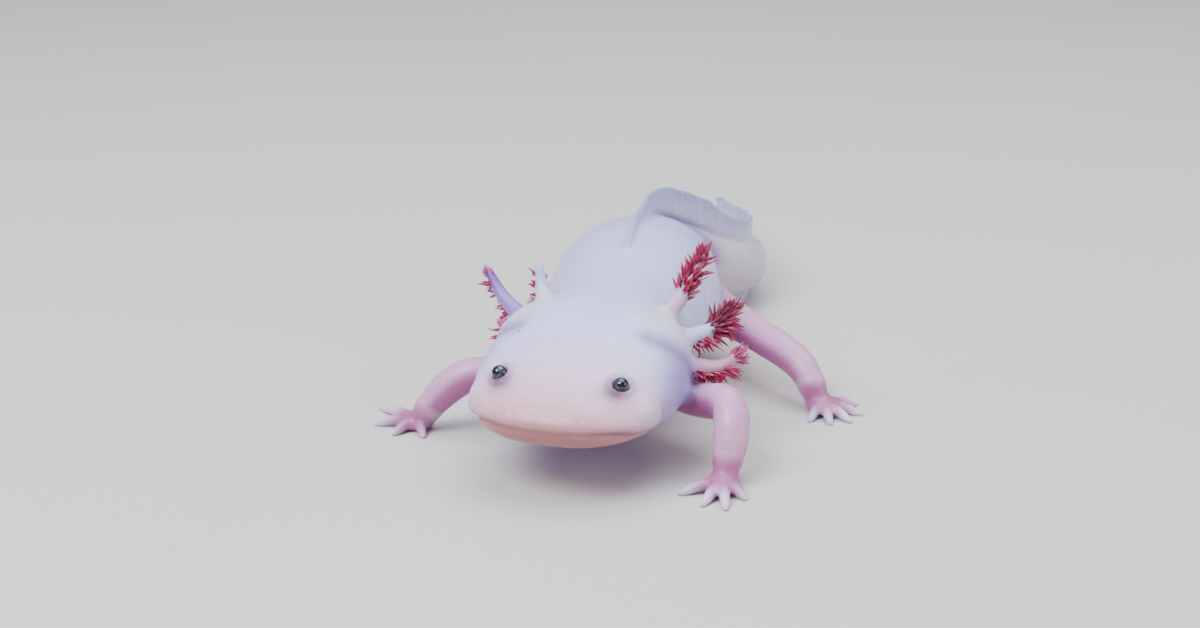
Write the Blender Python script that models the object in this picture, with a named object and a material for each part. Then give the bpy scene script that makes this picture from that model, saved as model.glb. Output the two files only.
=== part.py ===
"""A life-size axolotl, standing on four feet with its tail laid on the floor.

The body is drawn straight first, in millimetres: s runs back from the snout, u to the animal's left
and v up from the floor. place() then bends it along the spine. The animal faces -Y, its left is +X.
"""
import math

import bmesh
import bpy
import numpy as np
from mathutils import Matrix, Vector

MM = 0.001
GAP = 0.3                   # between neighbouring pieces, mm

# Body outline, mm: distance back, half width, top, height of the widest point, bottom.
BODY = (
    (0.0, 0.0, 16.2, 16.2, 16.2),
    (1.0, 8.5, 18.9, 16.0, 13.5),
    (3.5, 13.6, 21.2, 16.0, 12.0),
    (8.0, 17.7, 23.6, 16.3, 10.9),
    (14.0, 20.3, 26.2, 16.9, 10.0),
    (22.0, 21.8, 29.2, 17.6, 9.2),
    (31.0, 22.4, 32.0, 18.2, 8.6),
    (38.0, 20.8, 33.2, 18.6, 8.2),
    (46.0, 17.0, 33.6, 18.4, 7.8),
    (55.0, 16.8, 34.2, 18.0, 6.8),
    (66.0, 18.8, 35.8, 17.8, 5.8),
    (80.0, 20.0, 37.0, 17.8, 5.0),
    (94.0, 18.6, 35.8, 18.2, 5.4),
    (108.0, 14.6, 32.8, 18.2, 6.6),
    (116.0, 11.4, 30.0, 17.4, 6.8),
    (126.0, 8.4, 25.8, 15.2, 5.8),
    (138.0, 6.6, 20.4, 12.2, 4.8),
    (152.0, 5.4, 16.6, 10.2, 4.3),
    (172.0, 4.2, 13.6, 8.8, 4.2),
    (196.0, 2.9, 10.8, 7.6, 4.4),
    (214.0, 1.8, 8.8, 6.8, 4.8),
    (227.0, 0.5, 6.8, 6.2, 5.6),
)
# Heading of the spine, degrees towards the animal's left, at each distance back.
HEADING = (
    (0.0, 4.0), (36.0, 4.0), (56.0, -1.0), (80.0, -4.0), (100.0, -3.0), (112.0, 14.0),
    (122.0, 34.0), (134.0, 34.0), (146.0, 14.0), (160.0, -12.0), (180.0, -24.0), (200.0, -14.0),
    (227.0, 8.0),
)
SPINE_PIN = 46.0            # the spine crosses x = 0 at the shoulders
SPINE_STEP = 0.5
SQUARENESS = 2.3            # 2 is an ellipse, more is boxier
RING_POINTS = 26

# Where the body is divided, mm back from the snout.
HEAD_END, NECK_END, TRUNK_END, TAIL_END = 40.0, 51.0, 110.0, 226.8
HEAD_RINGS = (0.2, 0.9, 2.2, 4.0, 6.4, 9.0, 11.4, 14.0, 17.5, 21.5, 26.0, 30.5, 35.0)

# Soft mounds on the head: distance back, sideways, height, spread.
MOUNDS = (
    (11.0, 12.9, 1.1, 2.5),     # over the eye
    (30.0, 12.5, 1.4, 6.0),     # jaw muscle
)
EYE = (11.0, 12.9, 23.9)
EYE_RADIUS = 1.7

# Edge of the mouth, seen from the side: distance back, height.
LIP = ((-6.0, 16.8), (3.0, 16.6), (8.5, 15.2), (12.0, 15.1), (14.2, 16.2), (15.6, 18.0))
JAW_HINGE = ((18.5, 14.6), (28.5, 5.0), (-6.0, 5.0))

# Fins: distance back, height of the dorsal edge above the back.
DORSAL = (
    (66.0, 0.9), (80.0, 1.6), (96.0, 3.4), (108.0, 6.2), (118.0, 8.4), (128.0, 8.6),
    (142.0, 5.8), (160.0, 6.2), (185.0, 6.0), (205.0, 4.6), (216.0, 3.0), (222.0, 1.4),
)
# Distance back, height of the lower edge above the floor.
VENTRAL = (
    (118.0, 6.4), (130.0, 2.6), (140.0, -0.4), (205.0, -0.4), (215.0, 1.2), (221.0, 3.4),
)
# The dorsal fin leans to the outside of the tail's bend: distance back, sideways per unit height.
LEAN = ((96.0, 0.0), (118.0, 0.05), (136.0, 0.12), (150.0, 0.08), (170.0, 0.0), (226.0, 0.0))
FIN_ROOT, FIN_MIDDLE, FIN_EDGE = 2.6, 1.6, 0.9      # thickness
FIN_BODY_SHARE = 1.1        # a fin is no thicker than this much of the body's half width
FIN_DEPTH = 1.6             # how far its root reaches into the body before the cut

# Limbs: middle line and radius from inside the body to the wrist or ankle, mm.
FORELEG_RADII = (4.6, 4.2, 3.8, 3.8, 3.8, 3.6, 2.9)
HINDLEG_RADII = (6.0, 4.9, 4.1, 3.9, 3.6, 3.0)
LIMBS = {
    "foreleg_left": (
        ((9.0, 47.0, 15.6), (18.6, 41.0, 11.6), (24.0, 34.0, 13.0), (28.8, 28.6, 15.0),
         (30.9, 25.0, 13.0), (31.3, 22.2, 9.0), (31.0, 20.4, 5.4)), FORELEG_RADII),
    "foreleg_right": (
        ((-9.0, 47.0, 15.6), (-18.0, 42.6, 12.6), (-24.0, 40.2, 13.2), (-28.6, 38.9, 13.2),
         (-32.6, 38.0, 11.4), (-36.0, 37.4, 8.4), (-38.8, 37.0, 5.0)), FORELEG_RADII),
    "hindleg_left": (
        ((7.0, 105.0, 17.0), (17.4, 97.0, 12.2), (26.0, 87.4, 11.4), (34.4, 77.8, 10.6),
         (39.6, 72.8, 8.6), (42.6, 69.4, 5.4)), HINDLEG_RADII),
    "hindleg_right": (
        ((-7.0, 104.5, 17.0), (-15.6, 100.6, 13.2), (-22.6, 98.8, 13.2), (-27.4, 100.4, 11.2),
         (-30.0, 103.2, 8.4), (-31.4, 105.4, 5.4)), HINDLEG_RADII),
}
# Feet: palm centre, then the tip of each toe on the floor.
FEET = {
    "forefoot_left": ((30.6, 17.2), ((22.4, 12.6), (28.0, 7.8), (32.8, 6.8), (36.0, 12.8))),
    "forefoot_right": ((-41.6, 37.6), ((-53.4, 46.8), (-51.0, 36.8), (-45.2, 31.6), (-38.4, 31.6))),
    "hindfoot_left": (
        (45.2, 67.4), ((43.4, 59.6), (48.2, 58.8), (52.4, 61.2), (54.2, 66.4), (52.6, 72.6))),
    "hindfoot_right": (
        (-33.6, 107.6), ((-36.8, 99.8), (-41.4, 102.2), (-43.8, 107.2), (-42.8, 112.8), (-38.8, 116.8))),
}
PALM = (3.5, 3.9, 1.9)      # half sizes: across, along, height
PALM_HEIGHT = 1.7
TOE_RADIUS, TOE_TIP_RADIUS = 1.15, 0.62
TOE_HEIGHT = 0.62           # of its middle line at the tip

# Gills: base and tip, mm, in the bent body's place. Three on each side.
GILLS = {
    "gill_left_1": ((14.6, 41.0, 30.0), (20.0, 49.8, 40.2)),
    "gill_left_2": ((18.6, 38.4, 25.0), (27.2, 46.6, 29.2)),
    "gill_left_3": ((19.6, 36.0, 19.6), (29.4, 42.6, 20.6)),
    "gill_right_1": ((-13.0, 42.0, 29.6), (-15.4, 46.0, 36.6)),
    "gill_right_2": ((-17.8, 41.4, 25.8), (-27.4, 48.0, 34.2)),
    "gill_right_3": ((-18.6, 40.0, 19.8), (-24.6, 50.4, 21.4)),
}
GILL_RADIUS, GILL_TIP_RADIUS = 2.1, 0.9
GILL_SAG = 1.3              # how far the middle of a stalk bows down
FRINGE = (0.6, 2.7, 3.6)    # half sizes of the lobe that the filaments fill

FLOOR_FLAT = 0.0


# ------------------------------------------------------------------ curves and the bent body

def smooth(x, table):
    """The value at x of a monotone curve through a table's (x, value) pairs."""
    xs, ys = (np.array(column, float) for column in zip(*table))
    x = min(max(x, xs[0]), xs[-1])
    step = np.diff(xs)
    slope = np.diff(ys) / step
    tangent = np.zeros(len(xs))
    both = slope[:-1] * slope[1:] > 0
    mean = 3 * (step[1:] + step[:-1]) / (
        (2 * step[1:] + step[:-1]) / np.where(both, slope[:-1], 1)
        + (step[1:] + 2 * step[:-1]) / np.where(both, slope[1:], 1))
    tangent[1:-1] = np.where(both, mean, 0)
    tangent[0], tangent[-1] = slope[0], slope[-1]
    i = min(int(np.searchsorted(xs, x, side="right")) - 1, len(step) - 1)
    t = (x - xs[i]) / step[i]
    return float(
        ys[i] * (1 + 2 * t) * (1 - t) ** 2 + ys[i + 1] * t * t * (3 - 2 * t)
        + step[i] * (tangent[i] * t * (1 - t) ** 2 - tangent[i + 1] * t * t * (1 - t)))


def through(points, count):
    """Evenly numbered points on a smooth curve through the given ones."""
    points = np.array(points, float)
    places = np.arange(len(points))
    tables = [tuple(zip(places, points[:, axis])) for axis in range(points.shape[1])]
    return [[smooth(x, table) for table in tables] for x in np.linspace(0, places[-1], count)]


def spine_points():
    """The spine's x and y at every SPINE_STEP, by walking along its heading."""
    steps = int(TAIL_END / SPINE_STEP) + 3
    angles = [math.radians(smooth((i + 0.5) * SPINE_STEP, HEADING)) for i in range(steps)]
    x = np.concatenate([[0], np.cumsum(np.sin(angles))]) * SPINE_STEP
    y = np.concatenate([[0], np.cumsum(np.cos(angles))]) * SPINE_STEP
    pin = round(SPINE_PIN / SPINE_STEP)
    return x - x[pin], y - y[pin] + SPINE_PIN


SPINE_X, SPINE_Y = spine_points()
SPINE_S = np.arange(len(SPINE_X)) * SPINE_STEP


def place(s, u, v):
    """The world place, in mm, of a point of the straight body."""
    angle = math.radians(smooth(s, HEADING))
    x = np.interp(s, SPINE_S, SPINE_X) + u * math.cos(angle)
    y = np.interp(s, SPINE_S, SPINE_Y) + min(s, 0) - u * math.sin(angle)
    return Vector((x, y, v))


def profile(s):
    """Half width, top, widest height and bottom of the body at s."""
    return [smooth(s, [(row[0], row[i]) for row in BODY]) for i in range(1, 5)]


def mound(s, u):
    """How far the mounds lift the head's upper surface at a point."""
    return sum(
        height * math.exp(-((s - back) ** 2 + (abs(u) - side) ** 2) / (2 * spread ** 2))
        for back, side, height, spread in MOUNDS)


def ring(s, grow=0.0):
    """One closed section of the body, in world mm."""
    half, top, widest, bottom = profile(s)
    half, above, below = half + grow, top - widest + grow, widest - bottom + grow
    points = []
    for i in range(RING_POINTS):
        angle = 2 * math.pi * i / RING_POINTS
        across = math.copysign(abs(math.cos(angle)) ** (2 / SQUARENESS), math.cos(angle))
        high = math.copysign(abs(math.sin(angle)) ** (2 / SQUARENESS), math.sin(angle))
        u = half * across
        v = widest + (above * high + mound(s, u) * high if high > 0 else below * high)
        points.append(place(s, u, v))
    return points


# ------------------------------------------------------------------ objects

def clear_scene():
    for obj in list(bpy.data.objects):
        bpy.data.objects.remove(obj, do_unlink=True)


def collection(name):
    made = bpy.data.collections.new(name)
    bpy.context.scene.collection.children.link(made)
    return made


def material(name, colour, roughness):
    made = bpy.data.materials.new(name)
    made.use_nodes = True
    shader = made.node_tree.nodes["Principled BSDF"]
    shader.inputs["Base Color"].default_value = (*colour, 1)
    shader.inputs["Roughness"].default_value = roughness
    shader.inputs["Metallic"].default_value = 0.0
    return made


def mesh_object(name, build):
    """An object whose mesh is what build() puts in a bmesh, in mm."""
    bm = bmesh.new()
    build(bm)
    bmesh.ops.scale(bm, vec=(MM, MM, MM), verts=bm.verts)
    bmesh.ops.recalc_face_normals(bm, faces=bm.faces)
    mesh = bpy.data.meshes.new(name)
    bm.to_mesh(mesh)
    bm.free()
    obj = bpy.data.objects.new(name, mesh)
    bpy.context.scene.collection.objects.link(obj)
    return obj


def loft(name, sections):
    """A closed solid through sections with equally many points."""
    def build(bm):
        rows = [[bm.verts.new(point) for point in section] for section in sections]
        count = len(rows[0])
        for first, second in zip(rows, rows[1:]):
            for i in range(count):
                j = (i + 1) % count
                bm.faces.new((first[i], first[j], second[j], second[i]))
        bm.faces.new(rows[0][::-1])
        bm.faces.new(rows[-1])
    return mesh_object(name, build)


def ball(name, centre, half_sizes, frame=None, segments=16, rings=10):
    """An ellipsoid in mm, turned by a 3 x 3 frame."""
    turn = frame.to_4x4() if frame else Matrix.Identity(4)
    matrix = Matrix.Translation(centre) @ turn @ Matrix.Diagonal((*half_sizes, 1))

    def build(bm):
        bmesh.ops.create_uvsphere(bm, u_segments=segments, v_segments=rings, radius=1, matrix=matrix)
    return mesh_object(name, build)


def baked(obj):
    """The object with its modifiers made part of its mesh."""
    view = bpy.context.evaluated_depsgraph_get()
    mesh = bpy.data.meshes.new_from_object(obj.evaluated_get(view))
    bm = bmesh.new()
    bm.from_mesh(mesh)
    bmesh.ops.remove_doubles(bm, verts=bm.verts, dist=0.02 * MM)
    bmesh.ops.dissolve_degenerate(bm, edges=bm.edges, dist=0.02 * MM)
    bm.to_mesh(mesh)
    bm.free()
    made = bpy.data.objects.new(obj.name + "_made", mesh)
    made.matrix_world = obj.matrix_world
    bpy.context.scene.collection.objects.link(made)
    name = obj.name
    bpy.data.objects.remove(obj)
    made.name = name
    return made


def boolean(obj, operation, *others):
    """obj joined with, or cut by, the other objects, which are used up."""
    for other in others:
        modifier = obj.modifiers.new(operation, "BOOLEAN")
        modifier.operation = operation
        modifier.solver = "EXACT"
        modifier.object = other
        obj = baked(obj)
        bpy.data.objects.remove(other)
    return obj


def copy_of(obj):
    twin = obj.copy()
    twin.data = obj.data.copy()
    bpy.context.scene.collection.objects.link(twin)
    return twin


def tube(name, points, radii, count, sides_level):
    """A round tapered tube through points, its caps closed."""
    path = through([(*point, radius) for point, radius in zip(points, radii)], count)
    curve = bpy.data.curves.new(name, "CURVE")
    curve.dimensions = "3D"
    curve.bevel_depth = MM
    curve.bevel_resolution = sides_level
    curve.use_fill_caps = True
    spline = curve.splines.new("POLY")
    spline.points.add(count - 1)
    for point, (x, y, z, radius) in zip(spline.points, path):
        point.co = (x * MM, y * MM, z * MM, 1)
        point.radius = radius
    obj = bpy.data.objects.new(name, curve)
    bpy.context.scene.collection.objects.link(obj)
    return baked(obj)


def half_space(point, normal, size=60.0):
    """A block that fills the space behind the plane through point, to cut with."""
    turn = Vector(normal).to_track_quat("Z", "Y").to_matrix()
    centre = Vector(point) - Vector(normal).normalized() * size / 2
    matrix = Matrix.Translation(centre) @ turn.to_4x4()

    def build(bm):
        bmesh.ops.create_cube(bm, size=size, matrix=matrix)
    return mesh_object("half_space", build)


# ------------------------------------------------------------------ body

def stretch(start, end, step):
    """Distances from start to end, about a step apart."""
    return np.linspace(start, end, max(2, round((end - start) / step) + 1))


def body_piece(name, places, grow=0.0):
    return loft(name, [ring(s, grow) for s in places])


def body_clearance():
    """The whole body grown by the gap, which cuts what grows from it."""
    places = [*HEAD_RINGS[3:], *stretch(HEAD_END, 141, 5), *stretch(150, TAIL_END, 11)]
    return body_piece("clearance", places, grow=GAP)


def jaw_block(name, grow=0.0):
    """The side outline of the lower jaw, made wider than the head, to cut with."""
    outline = [(s, v + grow) for s, v in LIP] + [(s + 1.5 * grow, v) for s, v in JAW_HINGE]
    curve = bpy.data.curves.new(name, "CURVE")
    curve.dimensions = "2D"
    curve.fill_mode = "BOTH"
    curve.extrude = 30 * MM
    spline = curve.splines.new("POLY")
    spline.points.add(len(outline) - 1)
    spline.use_cyclic_u = True
    for point, (s, v) in zip(spline.points, outline):
        point.co = (s * MM, v * MM, 0, 1)
    obj = bpy.data.objects.new(name, curve)
    bpy.context.scene.collection.objects.link(obj)
    back, up = (place(1, 0, 0) - place(0, 0, 0)).normalized(), Vector((0, 0, 1))
    frame = Matrix((back, up, back.cross(up))).transposed().to_4x4()
    obj.matrix_world = Matrix.Translation(place(0, 0, 0) * MM) @ frame
    bpy.context.view_layer.update()
    return baked(obj)


def head_and_jaw():
    whole = body_piece("head", [*HEAD_RINGS, HEAD_END])
    jaw = boolean(copy_of(whole), "INTERSECT", jaw_block("jaw_block"))
    head = boolean(whole, "DIFFERENCE", jaw_block("jaw_block", GAP))
    sockets = [
        ball("socket", place(EYE[0], side * EYE[1], EYE[2]), [EYE_RADIUS + GAP] * 3)
        for side in (1, -1)]
    head = boolean(head, "DIFFERENCE", *sockets)
    head.name, jaw.name = "head", "jaw"
    return [head, jaw]


def eyes():
    return [
        ball(name, place(EYE[0], side * EYE[1], EYE[2]), [EYE_RADIUS] * 3, None, 14, 8)
        for name, side in (("eye_left", 1), ("eye_right", -1))]


def trunk_and_tail():
    return [
        body_piece("neck", stretch(HEAD_END + GAP, NECK_END, 4)),
        body_piece("trunk", stretch(NECK_END + GAP, TRUNK_END, 5)),
        body_piece("tail", [*stretch(TRUNK_END + GAP, 141, 5), *stretch(150, TAIL_END, 11)]),
    ]


# ------------------------------------------------------------------ fins

def blade_section(s, root, edge, lean):
    """A thin upright section from its thick root to its edge; lean shifts it sideways."""
    middle = (root + edge) / 2
    widest = max(FIN_EDGE, FIN_BODY_SHARE * profile(s)[0])
    heights = ((root, min(FIN_ROOT, widest)), (middle, min(FIN_MIDDLE, widest)), (edge, FIN_EDGE))
    left = [place(s, thickness / 2 + lean * abs(v - root), v) for v, thickness in heights]
    right = [place(s, -thickness / 2 + lean * abs(v - root), v) for v, thickness in heights]
    return left + right[::-1]


def dorsal_fin():
    sections = []
    for s in stretch(DORSAL[0][0], DORSAL[-1][0], 6):
        _, top, widest, _ = profile(s)
        depth = min(FIN_DEPTH, (top - widest) * 0.8)
        sections.append(blade_section(s, top - depth, top + smooth(s, DORSAL), smooth(s, LEAN)))
    return boolean(loft("dorsal_fin", sections), "DIFFERENCE", body_clearance())


def ventral_fin():
    sections = []
    for s in stretch(VENTRAL[0][0], VENTRAL[-1][0], 6):
        bottom = profile(s)[3]
        depth = min(FIN_DEPTH, (profile(s)[2] - bottom) * 0.8)
        sections.append(blade_section(s, bottom + depth, smooth(s, VENTRAL), 0.0))
    floor = half_space((0, 160, FLOOR_FLAT), (0, 0, 1), 160.0)
    return boolean(loft("ventral_fin", sections), "DIFFERENCE", body_clearance(), floor)


# ------------------------------------------------------------------ limbs

def wrist_of(limb):
    """The wrist's place and the way the limb points there."""
    points = LIMBS[limb][0]
    return Vector(points[-1]), (Vector(points[-1]) - Vector(points[-2])).normalized()


def leg(name):
    points, radii = LIMBS[name]
    made = tube(name, points, radii, 13, 4)
    wrist, along = wrist_of(name)
    return boolean(made, "DIFFERENCE", body_clearance(), half_space(wrist, -along, 30))


def toe(palm, tip):
    """A toe from inside the palm to its tip on the floor, arched a little."""
    start = Vector((*palm, PALM_HEIGHT))
    end = Vector((*tip, TOE_HEIGHT))
    knuckle = start.lerp(end, 0.55) + Vector((0, 0, 0.5))
    nearly = start.lerp(end, 0.93)
    radii = (TOE_RADIUS * 1.2, TOE_RADIUS, TOE_TIP_RADIUS * 1.15, TOE_TIP_RADIUS * 0.5)
    return tube("toe", (start, knuckle, nearly, end), radii, 6, 2)


def foot(name, limb):
    palm, tips = FEET[name]
    wrist, along = wrist_of(limb)
    heel = Vector((*palm, PALM_HEIGHT))
    forward = sum((Vector(tip) for tip in tips), Vector((0, 0))) / len(tips) - Vector(palm)
    turn = Matrix.Rotation(math.atan2(-forward.x, forward.y), 3, "Z")
    made = ball(name, heel, PALM, turn, 12, 6)
    ankle = tube("ankle", (wrist, wrist.lerp(heel, 0.5), heel), (LIMBS[limb][1][-1], 2.5, 1.9), 4, 4)
    made = boolean(made, "UNION", ankle, *[toe(palm, tip) for tip in tips])
    floor = half_space((*palm, FLOOR_FLAT), (0, 0, 1), 60)
    return boolean(made, "DIFFERENCE", half_space(wrist + along * GAP, along, 20), floor)


def limbs():
    made = []
    for name, limb in zip(FEET, LIMBS):
        made += [leg(limb), foot(name, limb)]
    return made


# ------------------------------------------------------------------ gills

def gill(name):
    base, tip = (Vector(point) for point in GILLS[name])
    along = (tip - base).normalized()
    middle = base.lerp(tip, 0.55) - Vector((0, 0, GILL_SAG))
    radii = (GILL_RADIUS, (GILL_RADIUS + GILL_TIP_RADIUS) / 2, GILL_TIP_RADIUS)
    stalk = tube(name, (base, middle, tip), radii, 6, 2)
    across = along.cross(Vector((0, 1, 0.4))).normalized()
    frame = Matrix((across, along.cross(across), along)).transposed()
    lobe = ball("lobe", base.lerp(tip, 0.72), FRINGE, frame, 10, 6)
    return boolean(stalk, "UNION", lobe)


def gills():
    return [boolean(gill(name), "DIFFERENCE", body_clearance()) for name in GILLS]


# ------------------------------------------------------------------ all together

def finish(pieces):
    """Puts the pieces in their collection, dresses them, and stands them on the origin."""
    home = collection("axolotl")
    frame = bpy.data.objects.new("axolotl_frame", None)
    home.objects.link(frame)
    skin = material("skin", (0.86, 0.76, 0.80), 0.35)
    fin = material("fin", (0.80, 0.78, 0.84), 0.3)
    limb = material("limb", (0.80, 0.58, 0.64), 0.4)
    looks = {
        "eye": material("eye", (0.03, 0.04, 0.07), 0.08),
        "gill": material("gill", (0.62, 0.18, 0.24), 0.4),
        "dorsal": fin, "ventral": fin,
        "foreleg": limb, "forefoot": limb, "hindleg": limb, "hindfoot": limb,
    }
    corners = np.array([vertex.co for piece in pieces for vertex in piece.data.vertices])
    middle = (corners.min(axis=0) + corners.max(axis=0)) / 2
    frame.location = (-middle[0], -middle[1], -corners[:, 2].min())
    for piece in pieces:
        for holder in list(piece.users_collection):
            holder.objects.unlink(piece)
        home.objects.link(piece)
        piece.parent = frame
        piece.data.materials.clear()
        piece.data.materials.append(looks.get(piece.name.split("_")[0], skin))
        piece.data.shade_smooth()
        piece.data.set_sharp_from_angle(angle=math.radians(50))


def main():
    clear_scene()
    finish([
        *head_and_jaw(), *eyes(), *trunk_and_tail(), dorsal_fin(), ventral_fin(), *limbs(), *gills()])


main()
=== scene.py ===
"""Looks of a life-size axolotl: one skin, two eyes, and the filaments of six gills.

Shapes are worked out in millimetres. s runs back from the snout along the bent spine, u to the animal's
left and z up from the floor; x and y are the drawing's own. A finished mesh is moved to the row frame.
"""
import logging
import math
from dataclasses import dataclass, field
from enum import Enum
from typing import Iterable, Sequence

import bpy
import numpy as np
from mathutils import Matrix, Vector


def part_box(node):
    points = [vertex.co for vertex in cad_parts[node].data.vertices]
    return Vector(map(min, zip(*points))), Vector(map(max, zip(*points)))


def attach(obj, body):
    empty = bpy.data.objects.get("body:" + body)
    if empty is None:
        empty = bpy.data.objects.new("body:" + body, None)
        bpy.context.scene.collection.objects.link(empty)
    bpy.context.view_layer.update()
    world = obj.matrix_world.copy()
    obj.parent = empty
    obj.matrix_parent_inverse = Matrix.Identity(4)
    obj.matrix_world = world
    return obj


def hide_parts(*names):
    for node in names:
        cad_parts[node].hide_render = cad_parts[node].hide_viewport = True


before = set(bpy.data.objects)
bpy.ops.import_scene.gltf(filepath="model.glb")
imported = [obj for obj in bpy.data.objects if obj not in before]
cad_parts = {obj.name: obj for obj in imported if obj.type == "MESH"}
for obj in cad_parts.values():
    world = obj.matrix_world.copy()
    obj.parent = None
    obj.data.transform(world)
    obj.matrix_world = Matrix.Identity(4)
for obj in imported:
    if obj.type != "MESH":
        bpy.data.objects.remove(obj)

LOG = logging.getLogger("axolotl")
Array = np.ndarray
Table = Sequence[Sequence[float]]
Colour = tuple[float, float, float]

MM = 0.001
BODY_NAME = "root"
EYE_NODES = {1: "eye_left", -1: "eye_right"}
FLESH_NODES = tuple(sorted(set(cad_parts) - set(EYE_NODES.values())))


# ---------------------------------------------------------------- curves and small sums

def monotone(table: Table, at: Array, column: int = 1) -> Array:
    """Values of a monotone cubic curve through a table.

    Args:
        table: Rows that start with the place on the curve.
        at: Places to read.
        column: The row's entry that holds the value.

    Returns:
        The value at each place.
    """
    xs = np.array([row[0] for row in table], float)
    ys = np.array([row[column] for row in table], float)
    at = np.clip(at, xs[0], xs[-1])
    step = np.diff(xs)
    slope = np.diff(ys) / step
    tangent = np.zeros(len(xs))
    tangent[0], tangent[-1] = slope[0], slope[-1]
    both = slope[:-1] * slope[1:] > 0
    mean = 3 * (step[1:] + step[:-1]) / (
        (2 * step[1:] + step[:-1]) / np.where(both, slope[:-1], 1)
        + (step[1:] + 2 * step[:-1]) / np.where(both, slope[1:], 1))
    tangent[1:-1] = np.where(both, mean, 0)
    i = np.clip(np.searchsorted(xs, at, side="right") - 1, 0, len(step) - 1)
    t = (at - xs[i]) / step[i]
    return (ys[i] * (1 + 2 * t) * (1 - t) ** 2 + ys[i + 1] * t * t * (3 - 2 * t)
            + step[i] * (tangent[i] * t * (1 - t) ** 2 - tangent[i + 1] * t * t * (1 - t)))


class Chart:
    """A smooth curve, sampled finely for quick reading."""

    def __init__(self, table: Table, column: int = 1, spacing: float = 0.1) -> None:
        """Samples the curve through a table's rows."""
        self.places = np.arange(table[0][0], table[-1][0] + spacing, spacing)
        self.values = monotone(table, self.places, column)

    def __call__(self, at: Array) -> Array:
        """The curve's value at each place, held level past its ends."""
        return np.interp(at, self.places, self.values)


def through(points: Table, count: int) -> Array:
    """Evenly numbered points on a smooth curve through the given ones."""
    rows = [(i, *point) for i, point in enumerate(points)]
    at = np.linspace(0, len(rows) - 1, count)
    return np.stack([monotone(rows, at, column) for column in range(1, len(rows[0]))], axis=1)


def smooth_min(a: Array, b: Array, reach: float) -> Array:
    """The lesser of two distances, rounded where they meet within reach."""
    near = np.maximum(reach - np.abs(a - b), 0) / reach
    return np.minimum(a, b) - near * near * reach / 4


def smooth_max(a: Array, b: Array, reach: float) -> Array:
    """The greater of two distances, rounded where they meet within reach."""
    return -smooth_min(-a, -b, reach)


def ramp(value: Array, low: float, high: float) -> Array:
    """0 at low and before, 1 at high and past, smooth between; low may be the greater."""
    t = np.clip((value - low) / (high - low), 0, 1)
    return t * t * (3 - 2 * t)


def hump(value: Array, middle: float, spread: float) -> Array:
    """1 at the middle, falling away smoothly over the spread."""
    return np.exp(-((value - middle) / spread) ** 2)


def linear(red: float, green: float, blue: float) -> Array:
    """A colour as a painter names it, 0 to 255, turned into light amounts."""
    share = np.array((red, green, blue), float) / 255
    return np.where(share <= 0.04045, share / 12.92, ((share + 0.055) / 1.055) ** 2.4)


class Raster:
    """Functions of two coordinates, kept on a square grid and read between its points."""

    def __init__(self, low: tuple[float, float], spacing: float, layers: Sequence[Array]) -> None:
        """Keeps the layers, whose first point is at low."""
        self.low, self.spacing, self.layers = low, spacing, layers

    def look(self, a: Array, b: Array) -> list[Array]:
        """Each layer's value at the places (a, b)."""
        rows, columns = self.layers[0].shape
        p = np.clip((a - self.low[0]) / self.spacing, 0, rows - 1.001)
        q = np.clip((b - self.low[1]) / self.spacing, 0, columns - 1.001)
        i, j = p.astype(int), q.astype(int)
        p, q = p - i, q - j
        return [
            (layer[i, j] * (1 - p) + layer[i + 1, j] * p) * (1 - q)
            + (layer[i, j + 1] * (1 - p) + layer[i + 1, j + 1] * p) * q
            for layer in self.layers]


# ---------------------------------------------------------------- the bent spine

@dataclass
class Spine:
    """The line that the straight body is bent along."""

    # Distance back, heading in degrees towards the animal's left.
    heading: Table = (
        (0.0, 4.0), (36.0, 4.0), (56.0, -1.0), (80.0, -4.0), (100.0, -3.0), (112.0, 14.0),
        (122.0, 34.0), (134.0, 34.0), (146.0, 14.0), (160.0, -12.0), (180.0, -24.0), (200.0, -14.0),
        (227.0, 8.0))
    pin: float = 46.0           # it crosses x = 0 here
    step: float = 0.5
    spare: float = 8.0          # drawn on past both ends of the body
    length: float = 227.0
    raster_low: tuple[float, float] = (-66.0, -14.0)
    raster_size: tuple[int, int] = (252, 520)

    def __post_init__(self) -> None:
        """Walks the line, then charts which part of it lies nearest to each place."""
        count = int((self.length + 2 * self.spare) / self.step)
        self.s = np.arange(count + 1) * self.step - self.spare
        self.turn = np.radians(monotone(self.heading, self.s))
        between = np.radians(monotone(self.heading, self.s[:-1] + self.step / 2))
        x = np.concatenate([[0], np.cumsum(np.sin(between))]) * self.step
        y = np.concatenate([[0], np.cumsum(np.cos(between))]) * self.step
        pinned = int(np.argmin(np.abs(self.s - self.pin)))
        self.x, self.y = x - x[pinned], y - y[pinned] + self.pin
        self.raster = self._nearest()

    def _nearest(self) -> Raster:
        """Charts s and u over the floor."""
        xs = self.raster_low[0] + np.arange(self.raster_size[0]) * self.step
        ys = self.raster_low[1] + np.arange(self.raster_size[1]) * self.step
        s = np.empty(self.raster_size)
        for row, x in enumerate(xs):
            away = (self.x[None] - x) ** 2 + (self.y[None] - ys[:, None]) ** 2
            s[row] = self.s[np.argmin(away, axis=1)]
        x, y = xs[:, None], ys[None]
        for _ in range(4):
            turn = np.interp(s, self.s, self.turn)
            across = x - np.interp(s, self.s, self.x)
            along = y - np.interp(s, self.s, self.y)
            s = s + across * np.sin(turn) + along * np.cos(turn)
        u = across * np.cos(turn) - along * np.sin(turn)
        return Raster(self.raster_low, self.step, (s, u))

    def place(self, s: float, u: float, z: float) -> Array:
        """The drawing's x, y and z of a point of the straight body."""
        turn = np.interp(s, self.s, self.turn)
        return np.array((
            np.interp(s, self.s, self.x) + u * np.cos(turn),
            np.interp(s, self.s, self.y) - u * np.sin(turn), z))


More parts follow.
